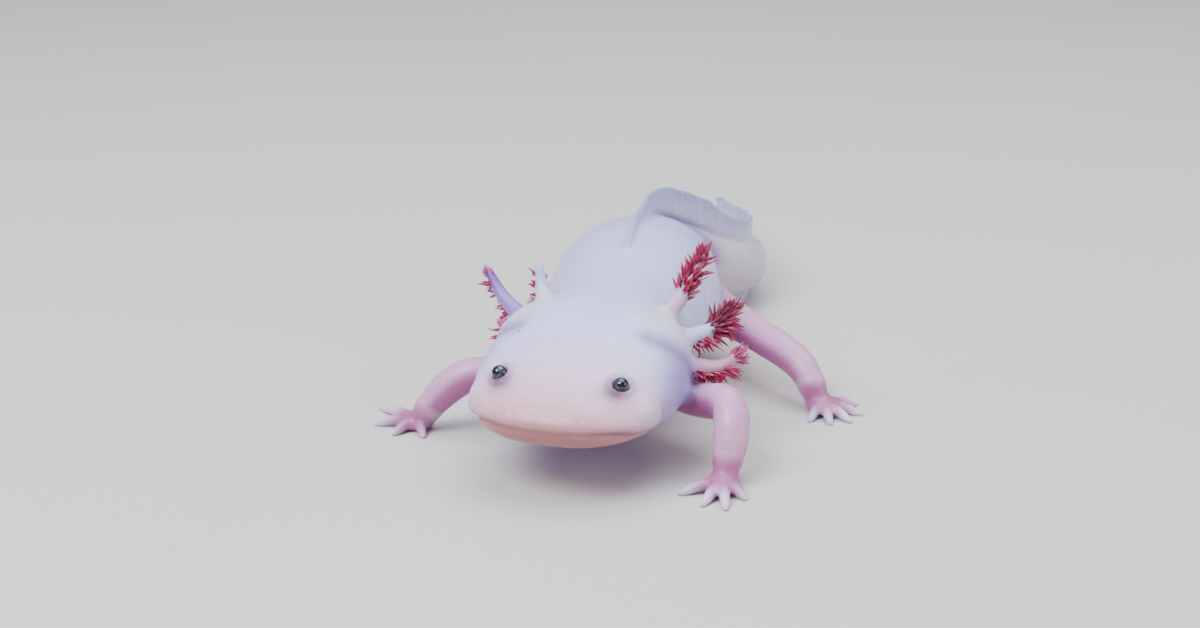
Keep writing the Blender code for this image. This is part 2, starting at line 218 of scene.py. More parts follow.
class Samples:
    """Places where the flesh is measured: a grid of columns and levels, or loose points."""

    def __init__(self, x: Array, y: Array, z: Array, s: Array, u: Array, gridded: bool) -> None:
        """Keeps arrays that broadcast together."""
        self.x, self.y, self.z, self.s, self.u, self.gridded = x, y, z, s, u, gridded

    @classmethod
    def on_grid(cls, spine: Spine, xs: Array, ys: Array, zs: Array) -> "Samples":
        """A box of samples, one for each x, y and z."""
        x, y, z = xs[:, None, None], ys[None, :, None], zs[None, None]
        s, u = spine.raster.look(*np.broadcast_arrays(x, y))
        return cls(*(part.astype(np.float32) for part in (x, y, z, s, u)), True)

    @classmethod
    def at_points(cls, spine: Spine, points: Array) -> "Samples":
        """One sample for each row of points."""
        x, y, z = points.T
        return cls(x, y, z, *spine.raster.look(x, y), False)

    def window(self, low: Array, high: Array) -> tuple[tuple, "Samples"]:
        """The samples in a box.

        Args:
            low: The box's lowest corner.
            high: Its highest corner.

        Returns:
            What picks them out of an array of values, and the samples themselves.
        """
        if not self.gridded:
            kept = np.ones(len(self.x), bool)
            for values, least, most in zip((self.x, self.y, self.z), low, high):
                kept &= (values > least) & (values < most)
            pick = (np.flatnonzero(kept),)
            return pick, Samples(*(part[pick] for part in self._parts()), False)
        i, j, k = (
            slice(*np.searchsorted(values.ravel(), (least, most)))
            for values, least, most in zip((self.x, self.y, self.z), low, high))
        return (i, j, k), Samples(
            self.x[i], self.y[:, j], self.z[:, :, k], self.s[i, j], self.u[i, j], True)

    def _parts(self) -> tuple[Array, ...]:
        """The five coordinates."""
        return self.x, self.y, self.z, self.s, self.u

    def away_from(self, centre: Array) -> Array:
        """Distance from a point of the drawing."""
        x, y, z = self.x - centre[0], self.y - centre[1], self.z - centre[2]
        return np.sqrt(x ** 2 + y ** 2 + z ** 2)


# ---------------------------------------------------------------- forms that make up the flesh

@dataclass
class Chain:
    """A round, tapering form along a line of points."""

    points: Array
    radii: Array
    reach: float = 1.0          # how softly it joins what it grows from

    def bounds(self) -> tuple[Array, Array]:
        """The box outside which the form has no effect."""
        room = self.radii.max() + self.reach + 0.5
        return self.points.min(axis=0) - room, self.points.max(axis=0) + room

    def value(self, at: Samples) -> Array:
        """Distance from the form's surface, negative inside."""
        nearest = None
        for a, b, r, q in zip(self.points, self.points[1:], self.radii, self.radii[1:]):
            line = b - a
            px, py, pz = at.x - a[0], at.y - a[1], at.z - a[2]
            t = np.clip((px * line[0] + py * line[1] + pz * line[2]) / (line @ line), 0, 1)
            away = np.sqrt(
                (px - t * line[0]) ** 2 + (py - t * line[1]) ** 2 + (pz - t * line[2]) ** 2)
            away = away - (r + t * (q - r))
            nearest = away if nearest is None else np.minimum(nearest, away)
        return nearest


@dataclass
class Pad:
    """A flattened ball, turned about the vertical."""

    centre: Array
    half_sizes: tuple[float, float, float]
    turn: float

    def value(self, at: Samples) -> Array:
        """Distance from its surface, nearly, negative inside."""
        x, y, z = at.x - self.centre[0], at.y - self.centre[1], at.z - self.centre[2]
        across = x * math.cos(self.turn) + y * math.sin(self.turn)
        along = y * math.cos(self.turn) - x * math.sin(self.turn)
        a, b, c = self.half_sizes
        once = np.sqrt((across / a) ** 2 + (along / b) ** 2 + (z / c) ** 2)
        twice = np.sqrt((across / a ** 2) ** 2 + (along / b ** 2) ** 2 + (z / c ** 2) ** 2)
        return once * (once - 1) / np.maximum(twice, 1e-6)


@dataclass(frozen=True)
class Swelling:
    """A soft rise of the head or body, the same on both sides; a hollow where lift is negative."""

    back: float
    side: float
    height: float
    lift: float
    spread: float

    def rise(self, at: Samples) -> Array:
        """How far the surface stands out at each sample."""
        away = ((at.s - self.back) ** 2 + (np.abs(at.u) - self.side) ** 2
                + (at.z - self.height) ** 2) / self.spread ** 2
        return self.lift * np.exp(-away)


@dataclass(frozen=True)
class Crease:
    """A fold along a line of (s, |u|, z) points, the same on both sides."""

    line: Table
    depth: float
    width: float

    def away(self, at: Samples) -> Array:
        """Distance from the fold's line."""
        nearest = None
        for a, b in zip(np.array(self.line), np.array(self.line)[1:]):
            line = b - a
            p, q, r = at.s - a[0], np.abs(at.u) - a[1], at.z - a[2]
            t = np.clip((p * line[0] + q * line[1] + r * line[2]) / (line @ line), 0, 1)
            away = (p - t * line[0]) ** 2 + (q - t * line[1]) ** 2 + (r - t * line[2]) ** 2
            nearest = away if nearest is None else np.minimum(nearest, away)
        return np.sqrt(nearest)

    def rise(self, at: Samples) -> Array:
        """How far the surface sinks, as a negative rise."""
        return -self.depth * hump(self.away(at), 0, self.width)


@dataclass
class Mouth:
    """The edge of the mouth, drawn from the side, and the lips along it."""

    # Distance back, height.
    edge: Table = ((-6.0, 16.8), (3.0, 16.6), (8.5, 15.2), (12.0, 15.1), (14.2, 16.2), (15.6, 18.0))
    overhang: float = 0.6      # of the upper lip over the lower
    jaw_fade: float = 3.4       # over which the lower jaw comes out again
    lip_swell: float = 0.4
    groove_depth: float = 0.5
    groove_width: float = 0.5
    low: tuple[float, float] = (-9.0, 2.0)
    spacing: float = 0.2
    size: tuple[int, int] = (180, 150)

    def __post_init__(self) -> None:
        """Charts the distance above the edge, and how far along it, over the side view."""
        line = through(self.edge, 41)
        s = self.low[0] + np.arange(self.size[0])[:, None] * self.spacing
        z = self.low[1] + np.arange(self.size[1])[None] * self.spacing
        best = np.full(self.size, np.inf)
        above, along = np.zeros(self.size), np.zeros(self.size)
        for i, (a, b) in enumerate(zip(line, line[1:])):
            step = b - a
            t = np.clip(((s - a[0]) * step[0] + (z - a[1]) * step[1]) / (step @ step), 0, 1)
            away = np.hypot(s - a[0] - t * step[0], z - a[1] - t * step[1])
            side = np.sign(step[0] * (z - a[1]) - step[1] * (s - a[0]))
            closer = away < best
            best = np.where(closer, away, best)
            above = np.where(closer, away * side, above)
            along = np.where(closer, (i + t) / (len(line) - 1), along)
        self.raster = Raster(self.low, self.spacing, (above, along))

    def rise(self, at: Samples) -> Array:
        """How far the lips stand out, or the groove sinks, at each sample."""
        above, along = self.raster.look(*np.broadcast_arrays(at.s, at.z))
        held = ramp(along, 1.0, 0.92)
        lip = self.lip_swell * hump(above, 1.0, 1.1) * held
        inset = self.overhang * np.exp(np.minimum(above, 0) / self.jaw_fade)
        inset = inset * ramp(above, 0.35, -0.25)
        groove = self.groove_depth * hump(above, -0.25, self.groove_width)
        deeper = 1 + 1.3 * ramp(along, 0.72, 0.88)
        return lip - inset * held - groove * deeper * ramp(along, 1.0, 0.97)


@dataclass
class Trunk:
    """Head, trunk and tail in one: rounded sections along the spine, with their folds."""

    # Distance back, half width, top, height of the widest point, bottom.
    outline: Table = (
        (0.0, 0.0, 16.2, 16.2, 16.2), (1.0, 8.5, 18.9, 16.0, 13.5), (3.5, 13.6, 21.2, 16.0, 12.0),
        (8.0, 17.7, 23.6, 16.3, 10.9), (14.0, 20.3, 26.2, 16.9, 10.0), (22.0, 21.8, 29.2, 17.6, 9.2),
        (31.0, 22.4, 32.0, 18.2, 8.6), (38.0, 20.8, 33.2, 18.6, 8.2), (46.0, 17.0, 33.6, 18.4, 7.8),
        (55.0, 16.8, 34.2, 18.0, 6.8), (66.0, 18.8, 35.8, 17.8, 5.8), (80.0, 20.0, 37.0, 17.8, 5.0),
        (94.0, 18.6, 35.8, 18.2, 5.4), (108.0, 14.6, 32.8, 18.2, 6.6), (116.0, 11.4, 30.0, 17.4, 6.8),
        (126.0, 8.4, 25.8, 15.2, 5.8), (138.0, 6.6, 20.4, 12.2, 4.8), (152.0, 5.4, 16.6, 10.2, 4.3),
        (172.0, 4.2, 13.6, 8.8, 4.2), (196.0, 2.9, 10.8, 7.6, 4.4), (214.0, 1.8, 8.8, 6.8, 4.8),
        (227.0, 0.7, 6.9, 6.2, 5.5))
    squareness: float = 2.3     # 2 is an ellipse, more is boxier
    tail_end: float = 226.4
    # Rises of the upper surface: distance back, sideways, height, spread.
    mounds: Table = ((11.0, 12.9, 1.1, 2.5), (30.0, 12.5, 1.4, 6.0))
    swellings: tuple[Swelling, ...] = (
        Swelling(11.6, 18.2, 18.4, 1.0, 2.5),       # flap at the corner of the mouth
        Swelling(17.2, 20.6, 16.6, -0.9, 2.5),      # hollow behind it
        Swelling(36.5, 17.6, 27.0, 0.9, 6.0),       # gill cover
        Swelling(27.5, 20.8, 20.5, -0.4, 4.6),      # cheek
        Swelling(19.0, 7.0, 28.6, -0.3, 5.0),       # between eye and jaw muscle
        Swelling(3.6, 9.0, 20.4, 0.25, 3.2),        # muzzle
        Swelling(52.0, 14.6, 27.0, 0.5, 6.5),       # shoulder
        Swelling(100.0, 13.5, 26.0, 0.6, 8.0),      # hip
    )
    # Behind the cheek, across the throat, behind the gill cover, and before the foreleg.
    creases: tuple[Crease, ...] = (
        Crease(
            ((26.4, 14.4, 29.4), (27.6, 17.6, 27.2), (31.4, 21.4, 22.9), (34.6, 22.0, 17.0)),
            0.42, 2.1),
        Crease(((38.6, 20.4, 15.0), (38.8, 13.0, 9.4), (39.0, 0.0, 8.0)), 0.6, 1.0),
        Crease(((41.5, 17.0, 28.5), (41.8, 19.4, 22.0), (40.4, 20.0, 15.0)), 0.35, 1.0),
        Crease(((43.6, 18.4, 17.0), (47.5, 16.6, 11.0), (49.5, 10.0, 7.6)), 0.35, 0.9),
    )
    # Fold across the root of the tail, where it bends.
    tail_crease: Crease = Crease(
        ((112.5, 1.0, 33.0), (119.0, 3.4, 31.0), (125.0, 6.2, 26.5), (127.0, 7.4, 19.0)), 0.55, 1.7)
    ribs: tuple[float, float, float] = (55.0, 104.0, 4.9)      # first groove, last, apart
    rib_depth: float = 0.26
    rib_slant: float = 0.14
    furrow_depth: float = 0.3
    nostril: tuple[float, float, float] = (1.9, 7.2, 18.7)
    nostril_depth: float = 0.55
    nostril_radius: float = 0.5
    mouth_end: float = 28.0     # no trace of the lips past this
    mouth: Mouth = field(default_factory=Mouth)

    def __post_init__(self) -> None:
        """Charts the outline over the root of s, so that the snout comes out blunt and round."""
        rows = [(math.sqrt(row[0]), *row[1:]) for row in self.outline]
        self.half, self.top, self.widest, self.bottom = (
            Chart(rows, column, 0.01) for column in range(1, 5))

    def section(self, s: Array) -> tuple[Array, Array, Array, Array]:
        """Half width, top, widest height and bottom of the body at each s."""
        root = np.sqrt(np.maximum(s, 0))
        return self.half(root), self.top(root), self.widest(root), self.bottom(root)

    def bare(self, at: Samples) -> Array:
        """Distance from the plain rounded form, negative inside."""
        half, top, widest, bottom = self.section(at.s)
        mound = sum(
            height * np.exp(-((at.s - back) ** 2 + (np.abs(at.u) - side) ** 2) / (2 * spread ** 2))
            for back, side, height, spread in self.mounds)
        half = np.maximum(half, 0.02)
        above = np.maximum(top - widest + mound, 0.02)
        below = np.maximum(widest - bottom, 0.02)
        rise = at.z - widest
        power = self.squareness
        reach = np.where(rise > 0, above, below)
        share = (np.abs(at.u) / half) ** power + (np.abs(rise) / reach) ** power
        out = np.sqrt(at.u ** 2 + rise ** 2 + 1e-6)
        away = np.clip(out * (1 - np.maximum(share, 1e-12) ** (-1 / power)), -8, None)
        ahead = np.maximum(-at.s, 0)
        away = np.where(ahead > 0, np.hypot(np.maximum(away, 0), ahead), away)
        return smooth_max(away, np.broadcast_to(at.s - self.tail_end, away.shape), 0.8)

    def detail(self, at: Samples) -> Array:
        """How far the folds and swellings stand out from the plain form."""
        rise = sum(form.rise(at) for form in (*self.swellings, *self.creases))
        rise = rise + self.mouth.rise(at) * ramp(at.s, self.mouth_end, self.mouth_end - 6)
        back, side, height = self.nostril
        hole = (at.s - back) ** 2 + (np.abs(at.u) - side) ** 2 + (at.z - height) ** 2
        return rise - self.nostril_depth * np.exp(-hole / self.nostril_radius ** 2)

    def flank(self, at: Samples) -> Array:
        """The grooves between the ribs and the furrow down the back, as a rise."""
        first, last, apart = self.ribs
        half, _, widest, _ = self.section(at.s)
        slanted = at.s + self.rib_slant * (at.z - widest)
        phase = np.mod(slanted - first, apart) - apart / 2
        side = ramp(np.abs(at.u) / np.maximum(half, 1), 0.5, 0.85)
        held = ramp(at.s, first - 2, first + 8) * ramp(at.s, last + 4, last - 8)
        grooves = self.rib_depth * (hump(phase, 0, 0.9) - 0.35) * side * held
        furrow = self.furrow_depth * hump(at.u, 0, 1.3)
        furrow = furrow * ramp(at.s, 40, 48) * ramp(at.s, 68, 58) * (at.z > widest)
        return self.tail_crease.rise(at) - grooves - furrow

    def value(self, at: Samples) -> Array:
        """Distance from the finished form, negative inside."""
        away = self.bare(at)
        for forms, low, high in ((self.detail, -10, 62), (self.flank, 38, 134)):
            pick, near = at.window((-99, low, -9), (99, high, 99))
            away[pick] -= forms(near)
        return away


@dataclass
class Fin:
    """A thin blade along the body, from its root inside the flesh to its edge."""

    trunk: Trunk
    dorsal: bool
    # Distance back, then the edge: above the back if dorsal, else above the floor.
    edge: Table
    # Distance back, sideways lean per unit height.
    lean: Table = ((96.0, 0.0), (118.0, 0.05), (136.0, 0.12), (150.0, 0.08), (170.0, 0.0), (226.0, 0.0))
    root_depth: float = 1.6
    thickness: tuple[float, float, float] = (2.6, 1.6, 1.05)    # root, middle, edge
    body_share: float = 1.1     # no thicker than this much of the body's half width
    ripple: float = 0.42        # sideways, in waves along the blade
    ripple_rate: float = 0.68
    ripple_start: float = 0.5
    scallop: float = 0.12       # up and down, along the dorsal edge
    scallop_rate: float = 0.93
    rounding: float = 0.35
    reach: float = 1.6

    def __post_init__(self) -> None:
        """Samples the edge and the lean."""
        self.edge_chart, self.lean_chart = Chart(self.edge), Chart(self.lean)

    def span(self, at: Samples) -> tuple[Array, Array]:
        """How far up the blade each sample lies, and the blade's height there."""
        _, top, widest, bottom = self.trunk.section(at.s)
        if self.dorsal:
            root = top - np.minimum(self.root_depth, (top - widest) * 0.8)
            scallop = self.scallop * np.sin(at.s * self.scallop_rate) * ramp(at.s, 105, 120)
            edge = top + self.edge_chart(at.s) + scallop
            return at.z - root, edge - root
        root = bottom + np.minimum(self.root_depth, (widest - bottom) * 0.8)
        return root - at.z, root - self.edge_chart(at.s)

    def value(self, at: Samples) -> Array:
        """Distance from the blade, negative inside."""
        up, height = self.span(at)
        half, *_ = self.trunk.section(at.s)
        share = np.clip(up / np.maximum(height, 0.1), 0, 1)
        thick = np.interp(share, (0, 0.5, 1), self.thickness)
        thick = np.minimum(thick, np.maximum(self.thickness[2], self.body_share * half))
        wave = np.sin(at.s * self.ripple_rate + self.ripple_start) * self.ripple
        wave = wave * share ** 2 * ramp(at.s, 112, 128)
        lean = self.lean_chart(at.s) * np.abs(up) if self.dorsal else 0.0
        beside = np.abs(at.u - lean - wave) - thick / 2
        first, last = self.edge[0][0], self.edge[-1][0]
        ends = np.maximum(first - at.s, at.s - last)
        blade = smooth_max(beside, up - height, self.rounding)
        return smooth_max(blade, np.maximum(-up, ends), self.rounding)


@dataclass
class Limb:
    """A leg and its foot."""

    line: Table                 # from inside the body to the wrist or ankle
    radii: Sequence[float]
    palm: tuple[float, float]
    toe_tips: Table
    reach: float = 3.2
    palm_sizes: tuple[float, float, float] = (3.5, 3.9, 1.9)
    palm_height: float = 1.7
    toe_radii: tuple[float, ...] = (1.4, 1.18, 1.0, 0.72, 0.5)
    tip_height: float = 0.56
    palm_room: float = 5.0

    def __post_init__(self) -> None:
        """Builds the leg's and the toes' chains and the palm."""
        rows = through([(*point, radius) for point, radius in zip(self.line, self.radii)], 25)
        self.leg = Chain(rows[:, :3], rows[:, 3], self.reach)
        heel = np.array((*self.palm, self.palm_height))
        wrist = np.array(self.line[-1])
        ahead = np.mean(self.toe_tips, axis=0) - self.palm
        self.pad = Pad(heel, self.palm_sizes, math.atan2(-ahead[0], ahead[1]))
        ankle = np.array((wrist, (wrist + heel) / 2, heel))
        self.ankle = Chain(ankle, np.array((self.radii[-1], 2.5, 1.9)))
        self.toes = [self._toe(heel, np.array((*tip, self.tip_height))) for tip in self.toe_tips]

    def _toe(self, heel: Array, tip: Array) -> Chain:
        """One toe, arched a little, its last joint swollen."""
        knuckle = heel + (tip - heel) * 0.52 + (0, 0, 0.55)
        joint = heel + (tip - heel) * 0.76 + (0, 0, 0.25)
        rows = through([
            (*point, radius) for point, radius in zip(
                (heel, knuckle, joint, heel + (tip - heel) * 0.93, tip), self.toe_radii)], 11)
        return Chain(rows[:, :3], rows[:, 3])

    def foot_value(self, at: Samples) -> Array:
        """Distance from the foot, negative inside."""
        away = smooth_min(self.pad.value(at), self.ankle.value(at), 1.4)
        for toe in self.toes:
            away = smooth_min(away, toe.value(at), 1.1)
        return away

    def bounds(self) -> tuple[Array, Array]:
        """The box around leg and foot."""
        boxes = [chain.bounds() for chain in (self.leg, self.ankle, *self.toes)]
        low = np.min([box[0] for box in boxes], axis=0)
        high = np.max([box[1] for box in boxes], axis=0)
        low[:2] = np.minimum(low[:2], np.array(self.palm) - self.palm_room)
        high[:2] = np.maximum(high[:2], np.array(self.palm) + self.palm_room)
        return low, high

    def value(self, at: Samples) -> Array:
        """Distance from leg and foot, negative inside."""
        return smooth_min(self.leg.value(at), self.foot_value(at), 1.2)

    def toe_share(self, at: Samples) -> Array:
        """0 at the wrist, 1 at the tips of the toes."""
        tips = np.array(self.toe_tips)
        out = np.hypot(at.x - self.palm[0], at.y - self.palm[1])
        return ramp(out, 3.0, np.hypot(*(tips - self.palm).T).mean())


@dataclass
class Gill:
    """A gill stalk and the filaments that it carries."""

    name: str
    base: tuple[float, float, float]
    tip: tuple[float, float, float]
    tone: Colour                # of the stalk
    tip_tone: Colour
    fringe: tuple["Tuft", ...]
    radii: tuple[float, float, float] = (2.1, 1.5, 0.95)
    sag: float = 1.3

    def __post_init__(self) -> None:
        """Builds the stalk's chain."""
        base, tip = np.array(self.base), np.array(self.tip)
        middle = base + (tip - base) * 0.55 - (0, 0, self.sag)
        root = base - (tip - base) * 0.25
        points = ((*root, self.radii[0]), (*base, self.radii[0]),
                  (*middle, self.radii[1]), (*tip, self.radii[2]))
        self.rows = through(points, 17)
        self.stalk = Chain(self.rows[:, :3], self.rows[:, 3], 1.8)

    def along(self, at: Samples) -> Array:
        """0 at the stalk's base, 1 at its tip."""
        base, tip = np.array(self.base), np.array(self.tip)
        line = tip - base
        out = (at.x - base[0]) * line[0] + (at.y - base[1]) * line[1] + (at.z - base[2]) * line[2]
        return np.clip(out / (line @ line), 0, 1)


@dataclass(frozen=True)
class Tuft:
    """Filaments spread over a length of a gill stalk."""

    count: int
    start: float                # along the stalk
    end: float
    turn: float                 # middle of the side they grow on, degrees about the stalk, 0 is up
    spread: float               # to both sides of that, degrees
    length: float
    forward: float              # how far they lean along the stalk, 0 to 1
    tone: Colour
    thickness: float = 0.21


CRIMSON, DARK_RED, ROSE = (152, 12, 72), (98, 6, 40), (198, 92, 152)


def gills() -> list[Gill]:
    """The three gills of each side."""
    return [
        Gill(
            "gill_left_1", (14.6, 41.0, 30.0), (20.0, 49.8, 40.2), (206, 176, 206), (196, 120, 150), (
                Tuft(130, 0.42, 1.0, 0, 130, 2.9, 0.55, CRIMSON),
                Tuft(70, 0.85, 1.0, 0, 180, 2.5, 0.9, CRIMSON))),
        Gill(
            "gill_left_2", (18.6, 38.4, 25.0), (27.2, 46.6, 29.2), (196, 204, 232), (150, 120, 170), (
                Tuft(100, 0.5, 1.0, 20, 95, 3.2, 0.6, DARK_RED),
                Tuft(100, 0.2, 0.9, 180, 80, 3.4, 0.3, CRIMSON))),
        Gill(
            "gill_left_3", (19.6, 36.0, 19.6), (29.4, 42.6, 20.6), (206, 168, 190), (214, 148, 176), (
                Tuft(44, 0.86, 1.0, 0, 180, 2.3, 0.75, ROSE, 0.26),
                Tuft(100, 0.15, 0.8, 180, 80, 3.3, 0.35, CRIMSON))),
        Gill(
            "gill_right_1", (-13.0, 42.0, 29.6), (-15.4, 46.0, 36.6), (204, 212, 236), (188, 190, 222), (
                Tuft(30, 0.3, 0.9, 180, 70, 1.7, 0.4, CRIMSON),)),
        Gill(
            "gill_right_2", (-17.8, 41.4, 25.8), (-27.4, 48.0, 34.2), (150, 124, 196), (118, 70, 148), (
                Tuft(46, 0.3, 0.9, 180, 60, 2.0, 0.35, CRIMSON),
                Tuft(14, 0.9, 1.0, 0, 160, 1.9, 0.8, ROSE))),
        Gill(
            "gill_right_3", (-18.6, 40.0, 19.8), (-24.6, 50.4, 21.4), (196, 160, 190), (190, 120, 150), (
                Tuft(90, 0.2, 1.0, 180, 95, 3.2, 0.4, CRIMSON),
                Tuft(24, 0.85, 1.0, 0, 170, 2.2, 0.8, ROSE))),
    ]


def limbs() -> list[Limb]:
    """The four legs with their feet."""
    fore = (4.6, 4.2, 3.8, 3.8, 3.8, 3.6, 2.9)
    hind = (6.0, 4.9, 4.1, 3.9, 3.6, 3.0)
    return [
        # foreleg, left
        Limb((
            (9.0, 47.0, 15.6), (18.6, 41.0, 11.6), (24.0, 34.0, 13.0), (28.8, 28.6, 15.0),
            (30.9, 25.0, 13.0), (31.3, 22.2, 9.0), (31.0, 20.4, 5.4)), fore,
            (30.6, 17.2), ((22.4, 12.6), (28.0, 7.8), (32.8, 6.8), (36.0, 12.8))),
        # foreleg, right
        Limb((
            (-9.0, 47.0, 15.6), (-18.0, 42.6, 12.6), (-24.0, 40.2, 13.2), (-28.6, 38.9, 13.2),
            (-32.6, 38.0, 11.4), (-36.0, 37.4, 8.4), (-38.8, 37.0, 5.0)), fore,
            (-41.6, 37.6), ((-53.4, 46.8), (-51.0, 36.8), (-45.2, 31.6), (-38.4, 31.6))),
        # hindleg, left
        Limb((
            (7.0, 105.0, 17.0), (17.4, 97.0, 12.2), (26.0, 87.4, 11.4), (34.4, 77.8, 10.6),
            (39.6, 72.8, 8.6), (42.6, 69.4, 5.4)), hind,
            (45.2, 67.4), ((43.4, 59.6), (48.2, 58.8), (52.4, 61.2), (54.2, 66.4), (52.6, 72.6))),
        # hindleg, right
        Limb((
            (-7.0, 104.5, 17.0), (-15.6, 100.6, 13.2), (-22.6, 98.8, 13.2), (-27.4, 100.4, 11.2),
            (-30.0, 103.2, 8.4), (-31.4, 105.4, 5.4)), hind,
            (-33.6, 107.6),
            ((-36.8, 99.8), (-41.4, 102.2), (-43.8, 107.2), (-42.8, 112.8), (-38.8, 116.8))),
    ]


@dataclass
class Eyes:
    """Where the eyes sit and how large they are."""

    back: float = 11.0
    side: float = 12.9
    height: float = 23.9
    radius: float = 1.7
    rim_lift: float = 0.42
    rim_width: float = 0.75
    rim_out: float = 0.55       # from the ball's surface to the rim's crest
    gap: float = 0.03           # between the ball and its socket
    socket_rounding: float = 0.22

    def centre(self, spine: Spine, side: int) -> Array:
        """The middle of one eyeball in the drawing."""
        return spine.place(self.back, side * self.side, self.height)


@dataclass
class Flesh:
    """Everything that the one skin covers."""

    spine: Spine
    eyes: Eyes
    trunk: Trunk = field(default_factory=Trunk)
    limbs: list[Limb] = field(default_factory=limbs)
    gills: list[Gill] = field(default_factory=gills)

    def __post_init__(self) -> None:
        """Adds the two fins."""
        self.dorsal = Fin(self.trunk, True, (
            (66.0, 0.9), (80.0, 1.6), (96.0, 3.4), (108.0, 6.2), (118.0, 8.4), (128.0, 8.6),
            (142.0, 5.8), (160.0, 6.2), (185.0, 6.0), (205.0, 4.6), (216.0, 3.0), (222.0, 1.4)))
        self.ventral = Fin(self.trunk, False, (
            (118.0, 6.4), (130.0, 2.6), (140.0, -0.4), (205.0, -0.4), (215.0, 1.2), (221.0, 3.4)))

    def value(self, at: Samples) -> Array:
        """Distance from the surface of the whole animal, negative inside."""
        away = self.trunk.value(at)
        for fin in (self.dorsal, self.ventral):
            pick, near = at.window((-99, fin.edge[0][0] - 8, -9), (99, 999, 99))
            away[pick] = smooth_min(away[pick], fin.value(near), fin.reach)
        for limb in self.limbs:
            pick, near = at.window(*limb.bounds())
            away[pick] = smooth_min(away[pick], limb.value(near), limb.reach)
        for gill in self.gills:
            pick, near = at.window(*gill.stalk.bounds())
            away[pick] = smooth_min(away[pick], gill.stalk.value(near), gill.stalk.reach)
        for side in EYE_NODES:
            centre = self.eyes.centre(self.spine, side)
            pick, near = at.window(centre - 7, centre + 7)
            out = near.away_from(centre)
            ring = self.eyes.radius + self.eyes.rim_out
            away[pick] -= self.eyes.rim_lift * hump(out, ring, self.eyes.rim_width)
            socket = self.eyes.radius + self.eyes.gap - out
            away[pick] = smooth_max(away[pick], socket, self.eyes.socket_rounding)
        return np.maximum(away, -at.z)

    def slope(self, points: Array, step: float = 0.07) -> tuple[Array, Array]:
        """Distance and its gradient.

        Args:
            points: Rows of x, y and z.
            step: Half the width that the gradient is measured over.

        Returns:
            The distance at each point, and the gradient as rows.
        """
        corners = np.array(((1, -1, -1), (-1, -1, 1), (-1, 1, -1), (1, 1, 1)), float)
        values = np.array([
            self.value(Samples.at_points(self.spine, points + corner * step)) for corner in corners])
        return values.mean(axis=0), values.T @ corners / (4 * step)


# ---------------------------------------------------------------- from flesh to a mesh

@dataclass
class Net:
    """Lays a net of four-sided faces over the flesh, then draws it onto the surface."""

    # Distance back to which each spacing along y holds.
    along: Table = ((50.0, 0.48), (122.0, 0.74), (228.0, 0.95))
    across: float = 0.51
    high: float = 0.51
    lift: float = 0.013         # keeps every level off the floor's plane
    low: tuple[float, float, float] = (-57.0, -3.0, -1.0)
    top: tuple[float, float] = (58.0, 43.5)
    rounds: int = 4
    longest_step: float = 0.3

    def lines(self) -> tuple[Array, Array, Array]:
        """The grid's x, y and z places."""
        ys = [np.array([self.low[1]])]
        for end, spacing in self.along:
            start = ys[-1][-1]
            count = round((end - start) / spacing)
            ys.append(start + np.arange(1, count + 1) * (end - start) / count)
        return (np.arange(self.low[0], self.top[0], self.across), np.concatenate(ys),
                np.arange(self.low[2] + self.lift, self.top[1], self.high))

    def surface(self, flesh: Flesh) -> tuple[Array, Array]:
        """The skin's points, in the drawing's mm, and its four-sided faces."""
        lines = self.lines()
        field_values = flesh.value(Samples.on_grid(flesh.spine, *lines))
        points, faces = self._lay(field_values, lines)
        for _ in range(self.rounds):
            away, slope = flesh.slope(points)
            step = slope * (away / np.maximum((slope ** 2).sum(axis=1), 0.05))[:, None]
            length = np.linalg.norm(step, axis=1, keepdims=True)
            points = points - step * np.minimum(1, self.longest_step / np.maximum(length, 1e-9))
        points[:, 2] = np.maximum(points[:, 2], 0)
        return points, faces

    @staticmethod
    def _lay(values: Array, lines: tuple[Array, Array, Array]) -> tuple[Array, Array]:
        """One point in each cell that the surface crosses, and one face for each edge it cuts."""
        inside = values < 0
        cells = tuple(size - 1 for size in values.shape)
        filled = np.zeros(cells, np.uint8)
        for corner in np.ndindex(2, 2, 2):
            filled += inside[tuple(slice(c, c + n) for c, n in zip(corner, cells))]
        mixed = np.argwhere((filled > 0) & (filled < 8))
        number = np.full(cells, -1, np.int64)
        number[tuple(mixed.T)] = np.arange(len(mixed))
        total, hits = np.zeros((len(mixed), 3)), np.zeros(len(mixed))
        faces = []
        for axis in range(3):
            others = [(axis + 1) % 3, (axis + 2) % 3]
            for first, second in np.ndindex(2, 2):
                start = mixed.copy()
                start[:, others[0]] += first
                start[:, others[1]] += second
                end = start.copy()
                end[:, axis] += 1
                a, b = values[tuple(start.T)], values[tuple(end.T)]
                cut = (a < 0) != (b < 0)
                share = np.where(cut, a / np.where(cut, a - b, 1), 0)
                place = np.stack([line[start[:, i]] for i, line in enumerate(lines)], axis=1)
                place[:, axis] += share * (lines[axis][end[:, axis]] - lines[axis][start[:, axis]])
                total += place * cut[:, None]
                hits += cut
            low = inside[tuple(slice(0, -1) if i == axis else slice(None) for i in range(3))]
            high = inside[tuple(slice(1, None) if i == axis else slice(None) for i in range(3))]
            edges = np.argwhere(low != high)
            ring = []
            for first, second in ((-1, -1), (0, -1), (0, 0), (-1, 0)):
                cell = edges.copy()
                cell[:, others[0]] += first
                cell[:, others[1]] += second
                ring.append(number[tuple(cell.T)])
            quads = np.stack(ring, axis=1)
            outward = low[tuple(edges.T)]
            faces.append(np.where(outward[:, None], quads, quads[:, ::-1]))
        return total / hits[:, None], np.concatenate(faces)


# ---------------------------------------------------------------- colours of the skin

